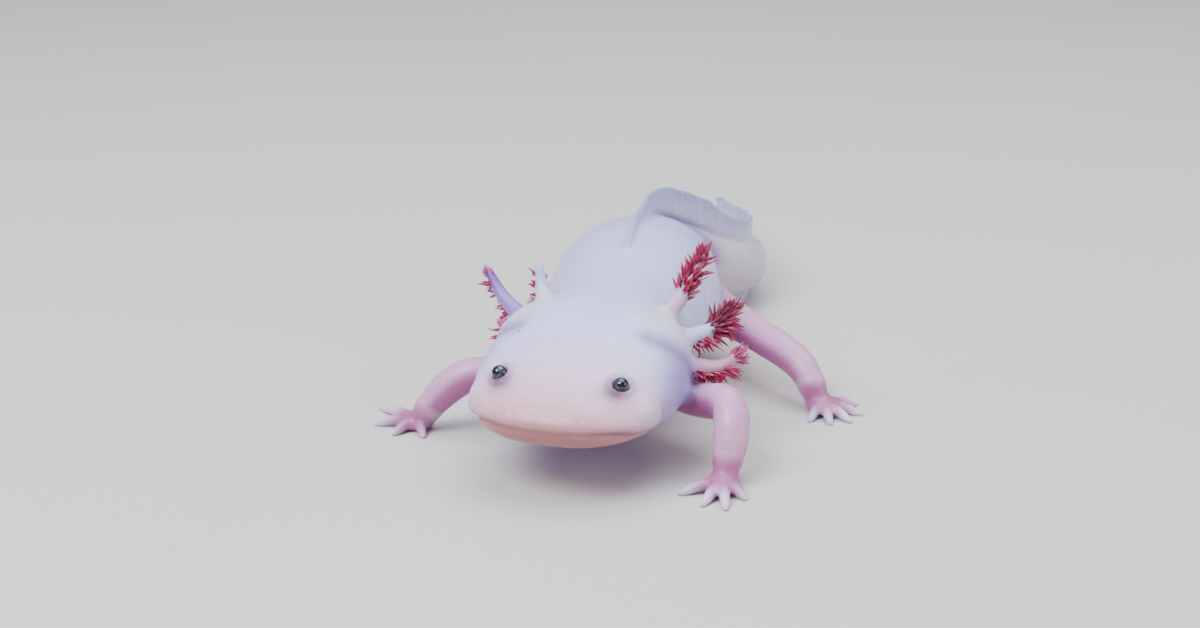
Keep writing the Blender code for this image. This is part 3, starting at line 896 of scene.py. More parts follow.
@dataclass
class Complexion:
    """The colour of the skin all over, before its fine mottling, with painted shade in its creases,
    hollows and underside and painted light on its upper side and legs.
    """

    # Distance back, then red, green and blue of the upper side.
    # The upper side's paler, bluer tone is partly painted light from above; its dip at 112 to 122 is
    # painted shade where the back falls to the bent tail.
    upper: Table = (
        (0, 208, 154, 158), (4, 226, 180, 194), (10, 230, 198, 224), (18, 220, 208, 244),
        (28, 208, 211, 252), (45, 206, 210, 250), (62, 203, 204, 244), (82, 200, 199, 240),
        (100, 195, 189, 228), (112, 168, 158, 206), (122, 176, 170, 202), (136, 206, 198, 206),
        (160, 200, 192, 208), (200, 188, 178, 204), (227, 184, 174, 204))
    # The lower side is pinker as the animal is, and darker as painted shade beneath.
    lower: Table = (
        (0, 166, 108, 106), (6, 172, 120, 132), (14, 182, 140, 180), (25, 182, 164, 220),
        (40, 184, 162, 214), (60, 190, 172, 212), (100, 186, 164, 202), (130, 184, 172, 188),
        (227, 176, 164, 192))
    cream: Colour = (232, 226, 202)
    # painted shade on the cheek and throat below the gill cover
    lilac: Colour = (132, 120, 200)
    # painted shade at the inner lower side of each eye
    under_eye: Colour = (98, 54, 78)
    eye_ring: Colour = (192, 152, 188)
    lip: Colour = (172, 108, 104)
    lip_line: Colour = (134, 80, 80)
    # painted shade in the folds and creases
    fold: Colour = (116, 84, 146)
    leg: Colour = (176, 100, 148)
    # painted highlight on the upper side of the legs
    leg_top: Colour = (224, 176, 208)
    toe: Colour = (224, 208, 234)
    fin: Colour = (196, 196, 226)
    fin_edge: Colour = (166, 178, 214)
    flap: Swelling = Swelling(11.4, 18.2, 18.6, 1, 3.0)     # where the mouth's corner is paler
    fold_spread: float = 2.3
    shade_ahead: float = 1.9    # of the middle of the eye, as the next two
    shade_inward: float = 0.9
    shade_below: float = 1.1
    stalk_thinness: float = 0.4

    def tones(self, flesh: Flesh, points: Array) -> tuple[Array, Array]:
        """Paints every point of the skin.

        Args:
            flesh: What the skin covers.
            points: Rows of x, y and z in the drawing.

        Returns:
            Light amounts as rows, and how thin the flesh is, 0 to 1.
        """
        at = Samples.at_points(flesh.spine, points)
        _, top, _, bottom = flesh.trunk.section(at.s)
        tone = self._along(at, (at.z - bottom) / np.maximum(top - bottom, 1))

        def lay(colour: Colour, amount: Array) -> None:
            """Mixes a colour in by an amount."""
            share = np.clip(amount, 0, 1)[:, None]
            tone[:] = tone * (1 - share) + linear(*colour) * share

        trunk = flesh.trunk
        above, along = trunk.mouth.raster.look(at.s, at.z)
        front = ramp(at.s, 24, 18)
        nape = np.sqrt((at.s - 37) ** 2 + (np.abs(at.u) - 16) ** 2)
        # Cream on the upper half of the gill cover: its own cream tone and painted light from above.
        lay(self.cream, 0.62 * hump(nape, 0, 7.5) * (at.z > 22))
        # painted shade on the cheek below the gill cover
        lay(self.lilac, 0.7 * hump(at.s, 25, 8) * hump(at.z, 20.5, 5.5) * ramp(np.abs(at.u), 15, 20))
        lay(self.lip, 0.55 * hump(above, -1.4, 2.6) * front * ramp(np.abs(at.u), 19, 10))
        lay(self.cream, 0.45 * self.flap.rise(at))
        # darker line along the front of the mouth: the lips' own darker edge and painted shade in the
        # groove
        lay(self.lip_line, 0.7 * hump(above, -0.3, 0.5) * front * ramp(along, 1.0, 0.94))
        # painted shade in the hollow behind the flap at the mouth's corner
        behind = hump(above, -0.9, 1.5) * ramp(along, 0.7, 0.85) * ramp(along, 1.0, 0.97)
        lay(self.fold, 0.9 * behind)
        # painted shade along the cheek's crease and the fold at the tail's root
        for crease in (trunk.creases[0], trunk.tail_crease):
            lay(self.fold, 0.6 * hump(crease.away(at), 0, self.fold_spread))
        for side in EYE_NODES:
            centre = flesh.eyes.centre(flesh.spine, side)
            # darker pink ring round each eye: the rim's own pink and painted shade of the socket
            lay(self.eye_ring, 0.8 * ramp(at.away_from(centre), 4.2, 2.2))
            # painted shade in the hollow at the inner lower side of each eye
            shade = flesh.spine.place(
                flesh.eyes.back - self.shade_ahead, side * (flesh.eyes.side - self.shade_inward),
                flesh.eyes.height - self.shade_below)
            lay(self.under_eye, 0.95 * hump(at.away_from(shade), 0, 2.5))
        rise = ramp(trunk.bare(at), 0.2, 2.2)
        thin = np.zeros(len(points))
        for fin in (flesh.dorsal, flesh.ventral):
            up, height = fin.span(at)
            on_fin = ramp(fin.value(at), 0.7, 0.2) * ramp(up, fin.root_depth, fin.root_depth + 2.2)
            lay(self.fin, on_fin)
            lay(self.fin_edge, on_fin * ramp(up / np.maximum(height, 0.1), 0.5, 1))
            # painted shade along the root of the dorsal fin where the tail bends
            fin_root_shade = hump(up, fin.root_depth + 0.3, 1.3) * ramp(fin.value(at), 1.4, 0.3)
            lay(self.fold, 0.8 * fin_root_shade * hump(at.s, 121, 13) * fin.dorsal)
            thin = np.maximum(thin, on_fin)
        for limb in flesh.limbs:
            near = ramp(limb.value(at), 2.2, 0.4) * rise
            lay(self.leg, near)
            # painted highlight on the upper side of each leg
            lay(self.leg_top, 0.7 * near * hump(limb.leg.value(at), 0, 1.5) * self._upward(at, limb))
            foot = ramp(limb.foot_value(at), 1.2, 0.2) * near
            lay(self.toe, foot * limb.toe_share(at))
        for gill in flesh.gills:
            near = ramp(gill.stalk.value(at), 1.6, 0.3) * rise
            lay(gill.tone, near)
            lay(gill.tip_tone, near * ramp(gill.along(at), 0.45, 1))
            thin = np.maximum(thin, self.stalk_thinness * near)
        return tone, thin

    def _along(self, at: Samples, share: Array) -> Array:
        """The body's colour by distance back and by height: partly its own, and partly painted light
        above and painted shade below.
        """
        sides = []
        for table in (self.upper, self.lower):
            rows = [(row[0], *linear(*row[1:])) for row in table]
            sides.append(np.stack([monotone(rows, at.s, column) for column in (1, 2, 3)], axis=1))
        # Upper tone over lower by height: painted light on top, painted shade beneath, over the real
        # pinker underside.
        lift = ramp(share, 0.2, 0.75)[:, None]
        return sides[1] * (1 - lift) + sides[0] * lift

    @staticmethod
    def _upward(at: Samples, limb: Limb) -> Array:
        """1 on the upper side of a leg, 0 beneath it: where the painted highlight goes."""
        points = limb.leg.points
        away = (at.x[:, None] - points[:, 0]) ** 2 + (at.y[:, None] - points[:, 1]) ** 2
        return ramp(at.z - points[np.argmin(away, axis=1), 2], 0.0, 2.6)


# ---------------------------------------------------------------- materials

class Slot(Enum):
    """The record's material slots."""

    SKIN = "skin"
    GILL = "gill"
    EYE = "eye"


class Kit:
    """Adds and joins the nodes of one material."""

    def __init__(self, name: str) -> None:
        """Starts a material that holds only its shader."""
        self.material = bpy.data.materials.new(name)
        self.material.use_nodes = True
        self.tree = self.material.node_tree
        self.shader = self.tree.nodes["Principled BSDF"]

    def node(self, kind: str, settings: dict | None = None, **inputs: object) -> bpy.types.Node:
        """Adds a node.

        Args:
            kind: Its type, without the "ShaderNode" that all of them start with.
            settings: Its own properties.
            inputs: Its sockets by name, underscores for spaces: a value, or a socket to join.

        Returns:
            The node.
        """
        made = self.tree.nodes.new("ShaderNode" + kind)
        for key, value in (settings or {}).items():
            setattr(made, key, value)
        for key, value in inputs.items():
            self.join(made, key.replace("_", " "), value)
        return made

    def join(self, node: bpy.types.Node, socket: str | int, value: object) -> None:
        """Sets a socket to a value, or joins another socket to it."""
        target = node.inputs[int(socket)] if str(socket).isdigit() else node.inputs[socket]
        if isinstance(value, bpy.types.NodeSocket):
            self.tree.links.new(value, target)
        else:
            target.default_value = value

    def set(self, **inputs: object) -> None:
        """Sets the shader's own sockets."""
        for key, value in inputs.items():
            self.join(self.shader, key.replace("_", " "), value)

    def place(self) -> bpy.types.NodeSocket:
        """Object coordinates, in metres."""
        return self.node("TexCoord").outputs["Object"]

    def noise(self, scale: float, detail: float = 3.0, rough: float = 0.55) -> bpy.types.NodeSocket:
        """Soft noise, 0 to 1."""
        made = self.node(
            "TexNoise", Vector=self.place(), Scale=scale, Detail=detail, Roughness=rough)
        return made.outputs["Fac"]

    def remap(self, value: bpy.types.NodeSocket, low: float, high: float,
              to_low: float, to_high: float) -> bpy.types.NodeSocket:
        """Stretches a range of values onto another, kept inside it."""
        made = self.node(
            "MapRange", Value=value, From_Min=low, From_Max=high, To_Min=to_low, To_Max=to_high)
        return made.outputs["Result"]

    def mix(self, share: object, a: object, b: object, blend: str = "MIX") -> bpy.types.NodeSocket:
        """Mixes two colours."""
        made = self.node("Mix", {"data_type": "RGBA", "blend_type": blend})
        for index, value in ((0, share), (6, a), (7, b)):
            self.join(made, index, value)
        return made.outputs[2]

    def attribute(self, name: str) -> bpy.types.Node:
        """Reads one of the mesh's own attributes."""
        return self.node("Attribute", {"attribute_name": name})

    def bump(self, height: bpy.types.NodeSocket, distance: float, strength: float,
             under: bpy.types.NodeSocket | None = None) -> bpy.types.NodeSocket:
        """Turns a height into a tilt of the surface."""
        made = self.node("Bump", Height=height, Distance=distance, Strength=strength)
        if under is not None:
            self.join(made, "Normal", under)
        return made.outputs["Normal"]


@dataclass(frozen=True)
class SkinFinish:
    """Soft, moist, scaleless skin with light passing a little way into it."""

    roughness: tuple[float, float] = (0.34, 0.5)
    light_depth: float = 0.0026
    light_share: float = 0.32
    wet: float = 0.28
    mottle_scale: float = 230.0
    grain_scale: float = 1500.0
    fold_scale: float = 420.0
    freckle_share: float = 4.2  # freckles' scale, in mottles
    ray_scale: float = 170.0    # of the fins' veins
    fleck_place: tuple[float, float, float] = (0, 0, 0)
    fleck_radius: float = 0.00045

    def material(self) -> bpy.types.Material:
        """Builds the material."""
        kit = Kit("axolotl_skin")
        tone = kit.attribute("tone").outputs["Color"]
        thin = kit.attribute("thin").outputs["Fac"]
        patch = kit.remap(kit.noise(self.mottle_scale, 4, 0.6), 0.35, 0.68, 0, 1)
        freckle = kit.remap(kit.noise(self.mottle_scale * self.freckle_share, 3, 0.6), 0.5, 0.72, 0, 1)
        colour = kit.mix(kit.remap(patch, 0, 1, 0, 0.8), tone, (0.93, 0.85, 0.94, 1), "MULTIPLY")
        colour = kit.mix(kit.remap(freckle, 0, 1, 0, 0.6), colour, (0.88, 0.80, 0.92, 1), "MULTIPLY")
        rays = kit.node(
            "TexWave", {"wave_type": "BANDS", "bands_direction": "Y"}, Vector=kit.place(),
            Scale=self.ray_scale, Distortion=6.0, Detail=3.0, Detail_Scale=2.0).outputs["Fac"]
        veined = kit.node("Math", {"operation": "MULTIPLY"})
        kit.join(veined, 0, kit.remap(rays, 0.3, 0.9, 0, 0.3))
        kit.join(veined, 1, thin)
        colour = kit.mix(veined.outputs[0], colour, (0.62, 0.66, 0.82, 1), "MULTIPLY")
        away = kit.node("VectorMath", {"operation": "DISTANCE"})
        kit.join(away, 0, kit.place())
        kit.join(away, 1, self.fleck_place)
        fleck = kit.remap(away.outputs["Value"], self.fleck_radius, self.fleck_radius * 0.4, 0, 0.8)
        colour = kit.mix(fleck, colour, (0.10, 0.08, 0.10, 1))
        grain = kit.bump(kit.noise(self.grain_scale, 3, 0.6), 0.00009, 0.6)
        folds = kit.bump(kit.noise(self.fold_scale, 4, 0.6), 0.0003, 0.55, grain)
        kit.set(
            Base_Color=colour, Roughness=kit.remap(patch, 0, 1, *self.roughness), Normal=folds,
            Subsurface_Weight=self.light_share, Subsurface_Radius=(1.0, 0.42, 0.38),
            Subsurface_Scale=self.light_depth, IOR=1.42, Coat_Weight=self.wet, Coat_Roughness=0.22)
        return kit.material


@dataclass(frozen=True)
class EyeFinish:
    """A dark eye: black pupil, slate-blue iris, under a wet cornea."""

    pupil: float = 0.80         # out from the gaze, radians
    iris: float = 1.02

    def material(self) -> bpy.types.Material:
        """Builds the material."""
        kit = Kit("axolotl_eye")
        out = kit.attribute("out").outputs["Fac"]
        flecks = kit.noise(2600.0, 3, 0.7)
        blue = kit.mix(flecks, (0.010, 0.016, 0.045, 1), (0.04, 0.06, 0.13, 1))
        ring = kit.remap(out, self.pupil + 0.13, self.pupil + 0.02, 0, 0.5)
        blue = kit.mix(ring, blue, (0.11, 0.14, 0.24, 1))
        colour = kit.mix(kit.remap(out, self.pupil - 0.04, self.pupil + 0.03, 0, 1),
                         (0.003, 0.003, 0.006, 1), blue)
        rim = kit.remap(out, self.iris, self.iris + 0.25, 0, 1)
        colour = kit.mix(rim, colour, (0.012, 0.010, 0.018, 1))
        kit.set(Base_Color=colour, Roughness=0.12, IOR=1.4, Coat_Weight=1.0, Coat_Roughness=0.03)
        return kit.material


@dataclass(frozen=True)
class FilamentFinish:
    """Blood-red, moist gill filaments, paler towards their tips."""

    def material(self) -> bpy.types.Material:
        """Builds the material."""
        kit = Kit("axolotl_gill_filament")
        tone = kit.attribute("tone").outputs["Color"]
        blood = kit.remap(kit.noise(900.0, 2), 0.3, 0.7, 0, 0.55)
        colour = kit.mix(blood, tone, (0.72, 0.45, 0.55, 1), "MULTIPLY")
        kit.set(Base_Color=colour, Roughness=0.36, IOR=1.4, Coat_Weight=0.3, Coat_Roughness=0.15,
                Subsurface_Weight=0.3, Subsurface_Radius=(1.0, 0.25, 0.2), Subsurface_Scale=0.0012)
        return kit.material


@dataclass(frozen=True)
class FloorFinish:
    """A plain pale studio floor."""

    colour: Colour = (0.66, 0.62, 0.58)

    def material(self) -> bpy.types.Material:
        """Builds the material."""
        kit = Kit("studio_floor")
        soft = kit.remap(kit.noise(9.0, 2), 0.3, 0.7, 0, 0.4)
        colour = kit.mix(soft, (*self.colour, 1), (0.95, 0.95, 0.96, 1), "MULTIPLY")
        kit.set(Base_Color=colour, Roughness=0.62)
        return kit.material


# ---------------------------------------------------------------- pieces

def to_row_frame(points: Array, shift: Array) -> Array:
    """Moves the drawing's mm to the row frame's metres."""
    return (points + shift) * MM


def show(obj: bpy.types.Object) -> None:
    """Puts an object in the scene."""
    bpy.context.scene.collection.objects.link(obj)


def mesh_piece(name: str, points: Array, faces: list, material: bpy.types.Material) -> bpy.types.Object:
    """An object at the origin with its shape in its mesh, in metres, shaded smooth."""
    mesh = bpy.data.meshes.new(name)
    mesh.from_pydata(points.tolist(), [], faces)
    mesh.polygons.foreach_set("use_smooth", np.ones(len(mesh.polygons), bool))
    mesh.materials.append(material)
    obj = bpy.data.objects.new(name, mesh)
    show(obj)
    return obj


def set_attribute(obj: bpy.types.Object, name: str, values: Array) -> None:
    """Stores one value, or one colour, at each point of a mesh."""
    if values.ndim == 1:
        made = obj.data.attributes.new(name, "FLOAT", "POINT")
        made.data.foreach_set("value", values.astype(np.float32))
        return
    made = obj.data.attributes.new(name, "FLOAT_COLOR", "POINT")
    rows = np.concatenate([values, np.ones((len(values), 1))], axis=1)
    made.data.foreach_set("color", rows.astype(np.float32).ravel())


def hand_over(obj: bpy.types.Object, replaced: Iterable[str] = ()) -> None:
    """Ties a finished piece to the frame and reports it."""
    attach(obj, BODY_NAME)
    if replaced:
        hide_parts(*replaced)
    LOG.info("%s: %d points, %d faces", obj.name, len(obj.data.vertices), len(obj.data.polygons))


@dataclass
class Skin:
    """The one skin over head, trunk, tail, fins, legs and gill stalks."""

    flesh: Flesh
    shift: Array
    net: Net = field(default_factory=Net)
    complexion: Complexion = field(default_factory=Complexion)
    fleck: tuple[float, float, float] = (24.0, -13.2, 28.8)

    def build(self) -> bpy.types.Object:
        """Makes the skin, painted and dressed."""
        points, faces = self.net.surface(self.flesh)
        tone, thin = self.complexion.tones(self.flesh, points)
        fleck = to_row_frame(self.flesh.spine.place(*self.fleck), self.shift)
        finish = SkinFinish(fleck_place=tuple(fleck))
        obj = mesh_piece("skin", to_row_frame(points, self.shift), faces.tolist(), finish.material())
        set_attribute(obj, "tone", tone)
        set_attribute(obj, "thin", thin)
        hand_over(obj, FLESH_NODES)
        return obj


@dataclass
class Eyeball:
    """One eye: a ball whose front is the cornea, set to look outwards."""

    flesh: Flesh
    shift: Array
    side: int
    outward: float = 0.52       # the gaze's shares, before it is made one long
    forward: float = 0.72
    upward: float = 0.42
    bulge: float = 0.05         # of the cornea, as a share of the radius
    rings: int = 40
    around: int = 56

    def build(self) -> bpy.types.Object:
        """Makes the eyeball."""
        eyes, spine = self.flesh.eyes, self.flesh.spine
        turn = float(np.interp(eyes.back, spine.s, spine.turn))
        ahead = np.array((-math.sin(turn), -math.cos(turn), 0))
        left = np.array((math.cos(turn), -math.sin(turn), 0))
        gaze = left * self.side * self.outward + ahead * self.forward + (0, 0, self.upward)
        aimed = np.array(Vector(gaze).normalized().to_track_quat("Z", "Y").to_matrix())
        angles = np.linspace(0, math.pi, self.rings + 1)[1:-1]
        turns = np.arange(self.around) * 2 * math.pi / self.around
        out, about = np.meshgrid(angles, turns, indexing="ij")
        local = np.stack(
            [np.sin(out) * np.cos(about), np.sin(out) * np.sin(about), np.cos(out)], axis=-1)
        local = np.concatenate([[(0, 0, 1)], local.reshape(-1, 3), [(0, 0, -1)]])
        spread = np.concatenate([[0], out.ravel(), [math.pi]])
        radii = eyes.radius * (1 + self.bulge * ramp(spread, 0.9, 0.2))
        points = eyes.centre(spine, self.side) + (local * radii[:, None]) @ aimed.T
        node = EYE_NODES[self.side]
        obj = mesh_piece(
            node.replace("eye", "eyeball"), to_row_frame(points, self.shift), self._faces(),
            EyeFinish().material())
        set_attribute(obj, "out", spread)
        hand_over(obj, (node,))
        return obj

    def _faces(self) -> list[list[int]]:
        """Four-sided faces round the ball, and a ring of triangles at each pole."""
        rows, columns = self.rings - 1, self.around
        index = 1 + np.arange(rows * columns).reshape(rows, columns)
        after = np.roll(index, -1, axis=1)
        sides = np.stack([index[:-1], index[1:], after[1:], after[:-1]], axis=-1).reshape(-1, 4)
        front = [[0, int(a), int(b)] for a, b in zip(index[0], after[0])]
        last = 1 + rows * columns
        rear = [[last, int(b), int(a)] for a, b in zip(index[-1], after[-1])]
        return sides.tolist() + front + rear


class FilamentTree:
    """A Geometry Nodes tree that grows a tapered, curled filament from each root point."""

    STEPS = 7
    SIDES = 5
    DEFAULTS = {"Curl": 0.22, "Taper": 0.62, "Unevenness": 0.28}

    def __init__(self, material: bpy.types.Material) -> None:
        """Builds the tree."""
        self.tree = bpy.data.node_groups.new("gill_filaments", "GeometryNodeTree")
        face = self.tree.interface
        face.new_socket("Geometry", in_out="INPUT", socket_type="NodeSocketGeometry")
        for name, value in self.DEFAULTS.items():
            made = face.new_socket(name, in_out="INPUT", socket_type="NodeSocketFloat")
            made.default_value = value
        face.new_socket("Seed", in_out="INPUT", socket_type="NodeSocketInt")
        face.new_socket("Geometry", in_out="OUTPUT", socket_type="NodeSocketGeometry")
        self.inputs = self.tree.nodes.new("NodeGroupInput").outputs
        self._grow(material)

    def _node(self, kind: str, settings: dict | None = None) -> bpy.types.Node:
        """Adds a node with its own properties set."""
        made = self.tree.nodes.new(kind)
        for key, value in (settings or {}).items():
            setattr(made, key, value)
        return made

    def _math(self, operation: str, a: object, b: object = 0.0) -> bpy.types.NodeSocket:
        """A sum of two numbers or sockets."""
        made = self._node("ShaderNodeMath", {"operation": operation})
        for index, value in enumerate((a, b)):
            if isinstance(value, bpy.types.NodeSocket):
                self.tree.links.new(value, made.inputs[index])
            else:
                made.inputs[index].default_value = value
        return made.outputs[0]

    def _named(self, name: str, kind: str) -> bpy.types.NodeSocket:
        """Reads a root point's attribute."""
        made = self._node("GeometryNodeInputNamedAttribute", {"data_type": kind})
        made.inputs["Name"].default_value = name
        return made.outputs["Attribute"]

    def _filament(self) -> bpy.types.NodeSocket:
        """One filament, one unit long, curling towards +X and tapering to a blunt tip."""
        link = self.tree.links.new
        line = self._node("GeometryNodeCurvePrimitiveLine")
        even = self._node("GeometryNodeResampleCurve")
        even.inputs["Count"].default_value = self.STEPS
        link(line.outputs["Curve"], even.inputs["Curve"])
        share = self._node("GeometryNodeSplineParameter").outputs["Factor"]
        bent = self._node("GeometryNodeSetPosition")
        offset = self._node("ShaderNodeCombineXYZ")
        bend = self._math("MULTIPLY", self._math("POWER", share, 2.0), self.inputs["Curl"])
        link(bend, offset.inputs["X"])
        link(even.outputs["Curve"], bent.inputs["Geometry"])
        link(offset.outputs["Vector"], bent.inputs["Offset"])
        thin = self._node("GeometryNodeSetCurveRadius")
        link(bent.outputs["Geometry"], thin.inputs["Curve"])
        loss = self._math("MULTIPLY", self._math("POWER", share, 1.6), self.inputs["Taper"])
        link(self._math("SUBTRACT", 1.0, loss), thin.inputs["Radius"])
        ring = self._node("GeometryNodeCurvePrimitiveCircle")
        ring.inputs["Resolution"].default_value = self.SIDES
        ring.inputs["Radius"].default_value = 0.5
        solid = self._node("GeometryNodeCurveToMesh")
        solid.inputs["Fill Caps"].default_value = True
        link(thin.outputs["Curve"], solid.inputs["Curve"])
        link(ring.outputs["Curve"], solid.inputs["Profile Curve"])
        return solid.outputs["Mesh"]

    def _grow(self, material: bpy.types.Material) -> None:
        """Sets filaments on the roots, makes them real and dresses them."""
        link = self.tree.links.new
        points = self._node("GeometryNodeMeshToPoints")
        link(self.inputs["Geometry"], points.inputs["Mesh"])
        grown = self._node("GeometryNodeInstanceOnPoints")
        link(points.outputs["Points"], grown.inputs["Points"])
        link(self._filament(), grown.inputs["Instance"])
        aim = self._node("FunctionNodeAlignRotationToVector", {"axis": "Z"})
        link(self._named("lie", "FLOAT_VECTOR"), aim.inputs["Vector"])
        spin = self._node("FunctionNodeRotateRotation", {"rotation_space": "LOCAL"})
        link(aim.outputs["Rotation"], spin.inputs["Rotation"])
        turn = self._random(0.0, 2 * math.pi, 1)
        about = self._node("FunctionNodeAxisAngleToRotation")
        about.inputs["Axis"].default_value = (0, 0, 1)
        link(turn, about.inputs["Angle"])
        link(about.outputs["Rotation"], spin.inputs["Rotate By"])
        link(spin.outputs["Rotation"], grown.inputs["Rotation"])
        less = self._math("MULTIPLY", self._random(0.0, 1.0, 2), self.inputs["Unevenness"])
        kept = self._math("SUBTRACT", 1.0, less)
        length = self._math("MULTIPLY", self._named("length", "FLOAT"), kept)
        wide = self._named("thickness", "FLOAT")
        size = self._node("ShaderNodeCombineXYZ")
        for axis, value in (("X", wide), ("Y", wide), ("Z", length)):
            link(value, size.inputs[axis])
        link(size.outputs["Vector"], grown.inputs["Scale"])
        real = self._node("GeometryNodeRealizeInstances")
        link(grown.outputs["Instances"], real.inputs["Geometry"])
        smooth = self._node("GeometryNodeSetShadeSmooth")
        link(real.outputs["Geometry"], smooth.inputs["Geometry"])
        dress = self._node("GeometryNodeSetMaterial")
        dress.inputs["Material"].default_value = material
        link(smooth.outputs["Geometry"], dress.inputs["Geometry"])
        link(dress.outputs["Geometry"], self._node("NodeGroupOutput").inputs["Geometry"])

    def _random(self, low: float, high: float, extra: int) -> bpy.types.NodeSocket:
        """A number for each root, from the tree's seed."""
        made = self._node("FunctionNodeRandomValue", {"data_type": "FLOAT"})
        limits = {"Min": low, "Max": high}
        for socket in made.inputs:
            if socket.name in limits and socket.type == "VALUE":
                socket.default_value = limits[socket.name]
        seed = self._math("ADD", self.inputs["Seed"], float(extra))
        self.tree.links.new(seed, made.inputs["Seed"])
        return made.outputs[1]

    def on(self, obj: bpy.types.Object, seed: int, curl: float) -> None:
        """Puts the tree on an object, with its own seed and curl."""
        modifier = obj.modifiers.new("filaments", "NODES")
        modifier.node_group = self.tree
        values = {"Seed": seed, "Curl": curl}
        for item in self.tree.interface.items_tree:
            if item.in_out == "INPUT" and item.name in values:
                modifier[item.identifier] = values[item.name]


@dataclass
class Fringe:
    """The filaments of one gill."""

    flesh: Flesh
    gill: Gill
    shift: Array
    tree: FilamentTree
    seed: int
    curl: float = 3.2
    patch: float = 0.003        # a filament's width and height on the map
    buried: int = 3             # rows of the stalk that lie inside the head
    tip_tone: Colour = (214, 96, 140)

    def build(self) -> bpy.types.Object:
        """Makes the filaments as one plain mesh."""
        chance = np.random.default_rng(self.seed)
        roots = [self._roots(tuft, chance) for tuft in self.gill.fringe]
        place, lie, length, thick, tone = (np.concatenate(part) for part in zip(*roots))
        seeds = bpy.data.meshes.new("roots")
        seeds.from_pydata(to_row_frame(place, self.shift).tolist(), [], [])
        holder = bpy.data.objects.new("roots", seeds)
        show(holder)
        set_attribute(holder, "length", length * MM)
        set_attribute(holder, "thickness", thick * MM)
        made = seeds.attributes.new("lie", "FLOAT_VECTOR", "POINT")
        made.data.foreach_set("vector", lie.astype(np.float32).ravel())
        self.tree.on(holder, self.seed, self.curl)
        view = bpy.context.evaluated_depsgraph_get()
        mesh = bpy.data.meshes.new_from_object(holder.evaluated_get(view))
        bpy.data.objects.remove(holder)
        obj = bpy.data.objects.new("filaments_" + self.gill.name, mesh)
        show(obj)
        self._paint(obj, place, tone)
        hand_over(obj)
        return obj

    def _roots(self, tuft: Tuft, chance: np.random.Generator) -> tuple[Array, ...]:
        """One tuft's filaments: where each starts, how it lies, its length, thickness and colour."""
        rows = self.gill.rows
        share = np.linspace(tuft.start, tuft.end, tuft.count) + chance.normal(0, 0.02, tuft.count)
        step = np.clip(share, 0, 0.999) * (len(rows) - 1 - self.buried) + self.buried
        i = np.minimum(step.astype(int), len(rows) - 2)
        centre = rows[i] + (rows[i + 1] - rows[i]) * (step - i)[:, None]
        along = rows[i + 1, :3] - rows[i, :3]
        along /= np.linalg.norm(along, axis=1, keepdims=True)
        up = np.array((0, 0, 1.0)) - along * along[:, 2:]
        up /= np.linalg.norm(up, axis=1, keepdims=True)
        side = np.cross(along, up)
        turn = np.radians(tuft.turn + tuft.spread * chance.uniform(-1, 1, tuft.count))[:, None]
        out = up * np.cos(turn) + side * np.sin(turn)
        tip = ramp(share, 0.8, 1.0)[:, None]
        lean = tuft.forward * (1 - 0.35 * tip) + 0.5 * tip
        lie = out * (1 - lean) + along * lean + chance.normal(0, 0.14, (tuft.count, 3))
        lie /= np.linalg.norm(lie, axis=1, keepdims=True)
        uneven = chance.uniform(0.75, 1.1, tuft.count)
        length = tuft.length * (0.72 + 0.28 * ramp(share, 0, 0.5)) * uneven
        place = centre[:, :3] + out * (centre[:, 3:] * 0.7)
        tone = linear(*tuft.tone) * chance.uniform(0.75, 1.2, (tuft.count, 1))
        return place, lie, length, np.full(tuft.count, tuft.thickness), tone

    def _paint(self, obj: bpy.types.Object, place: Array, tone: Array) -> None:
        """Gives the filaments their colour, paler at the tips, and their map."""
        ring = FilamentTree.STEPS * FilamentTree.SIDES
        count = len(obj.data.vertices)
        each = count // len(place)
        owner, within = np.divmod(np.arange(count), each)
        up = np.clip((within % ring) // FilamentTree.SIDES / (FilamentTree.STEPS - 1), 0, 1)
        pale = linear(*self.tip_tone)
        share = (0.25 * up ** 2)[:, None]
        set_attribute(obj, "tone", tone[owner] * (1 - share) + pale * share)
        at = Samples.at_points(self.flesh.spine, place)
        _, _, widest, _ = self.flesh.trunk.section(at.s)
        around = np.arctan2(at.u, at.z - widest) / (2 * math.pi) + 0.5
        home = np.stack([at.s / self.flesh.spine.length, around], axis=1)[owner]
        spot = np.stack([(within % FilamentTree.SIDES) / FilamentTree.SIDES, up], axis=1)
        corners = np.zeros(len(obj.data.loops), np.int32)
        obj.data.loops.foreach_get("vertex_index", corners)
        layer = obj.data.uv_layers.new(name="OFBake")
        map_place = (home + (spot - 0.5) * self.patch)[corners]
        layer.data.foreach_set("uv", map_place.astype(np.float32).ravel())


# ---------------------------------------------------------------- studio

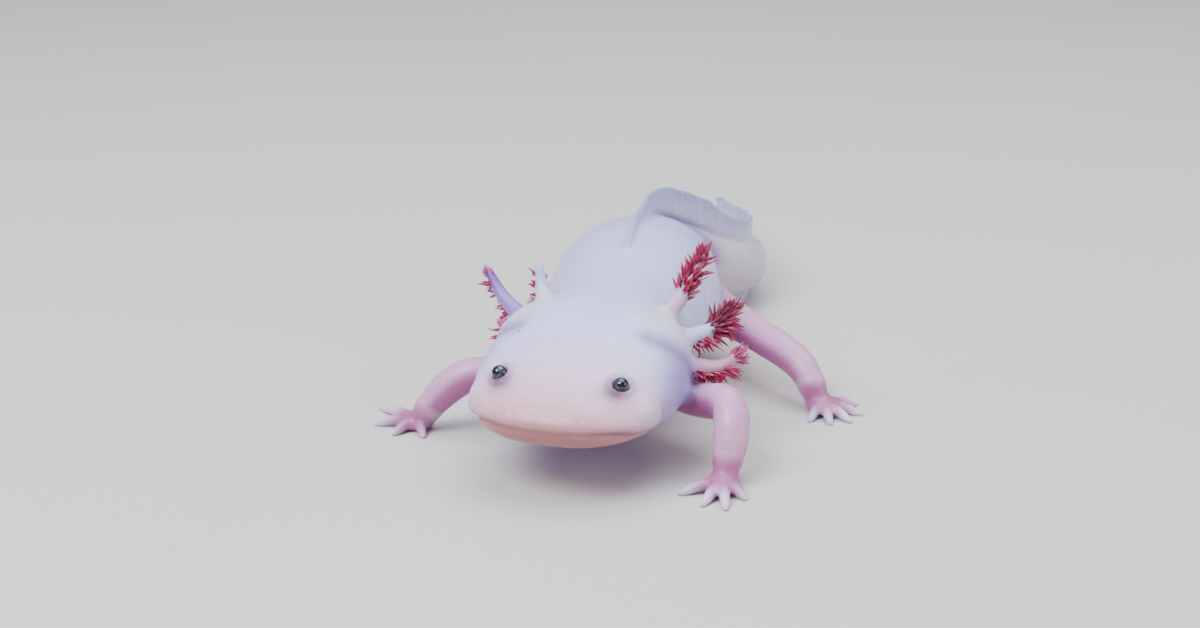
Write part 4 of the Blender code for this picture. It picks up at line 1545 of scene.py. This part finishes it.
@dataclass
class Studio:
    """A pale floor, soft lights and the camera."""

    # Row frame, metres.
    camera_place: tuple[float, float, float] = (0.08819, -0.46786, 0.16127)
    turn: float = 12.6          # degrees about the animal, and above it
    rise: float = 18.0
    lens: float = 59.7
    sensor: float = 36.0
    floor_size: float = 8.0
    aim: tuple[float, float, float] = (0.0, -0.06, 0.02)
    # Name, place, width and height, watts, colour.
    lights: tuple = (
        ("key", (-0.35, -0.55, 0.75), (0.55, 0.45), 12.0, (0.87, 0.93, 1.0)),
        ("top", (0.10, 0.10, 0.95), (0.9, 0.9), 12.0, (0.85, 0.92, 1.0)),
        ("side", (0.75, -0.15, 0.35), (0.5, 0.4), 2.2, (1.0, 0.97, 0.95)),
    )
    sky: Colour = (0.78, 0.83, 0.95)
    sky_strength: float = 0.42

    def build(self) -> None:
        """Sets up floor, lights and camera."""
        self._floor()
        self._lights()
        self._camera()
        world = bpy.data.worlds.new("studio")
        world.use_nodes = True
        back = world.node_tree.nodes["Background"]
        back.inputs["Color"].default_value = (*self.sky, 1)
        back.inputs["Strength"].default_value = self.sky_strength
        bpy.context.scene.world = world

    def _floor(self) -> None:
        """The floor, just under the soles."""
        half = self.floor_size / 2
        corners = np.array([(-half, -half, 0), (half, -half, 0), (half, half, 0), (-half, half, 0)])
        mesh_piece("floor", corners, [[0, 1, 2, 3]], FloorFinish().material())

    def _lights(self) -> None:
        """Soft area lights, all turned to the animal."""
        for name, place, (width, height), watts, colour in self.lights:
            light = bpy.data.lights.new(name, "AREA")
            light.shape, light.size, light.size_y = "RECTANGLE", width, height
            light.energy, light.color = watts, colour
            obj = bpy.data.objects.new(name, light)
            obj.location = place
            obj.rotation_euler = (Vector(self.aim) - Vector(place)).to_track_quat("-Z", "Y").to_euler()
            show(obj)

    def _camera(self) -> None:
        """The camera, in front of the animal, to its left and a little above."""
        turn, rise = math.radians(self.turn), math.radians(self.rise)
        back = Vector((
            math.sin(turn) * math.cos(rise), -math.cos(turn) * math.cos(rise), math.sin(rise)))
        lens = bpy.data.cameras.new("camera")
        lens.lens, lens.sensor_width = self.lens, self.sensor
        lens.clip_start = 0.01
        obj = bpy.data.objects.new("camera", lens)
        obj.location = self.camera_place
        obj.rotation_euler = (-back).to_track_quat("-Z", "Y").to_euler()
        show(obj)
        bpy.context.scene.camera = obj


# ---------------------------------------------------------------- all together

def frame_shift(flesh: Flesh) -> Array:
    """How far, in mm, the row frame lies from the drawing, by where the eyes are in both."""
    moves = []
    for side, node in EYE_NODES.items():
        low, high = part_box(node)
        moves.append(np.array((low + high) / 2) / MM - flesh.eyes.centre(flesh.spine, side))
    shift = np.mean(moves, axis=0)
    shift[2] = 0.0
    return shift


def main() -> None:
    """Builds every piece around the frame."""
    logging.basicConfig(level=logging.INFO, format="%(name)s: %(message)s")
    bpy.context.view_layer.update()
    flesh = Flesh(Spine(), Eyes())
    shift = frame_shift(flesh)
    Skin(flesh, shift).build()
    for side in EYE_NODES:
        Eyeball(flesh, shift, side).build()
    tree = FilamentTree(FilamentFinish().material())
    for seed, gill in enumerate(flesh.gills, start=11):
        Fringe(flesh, gill, shift, tree, seed).build()
    Studio().build()


if __name__ == "__main__":
    main()
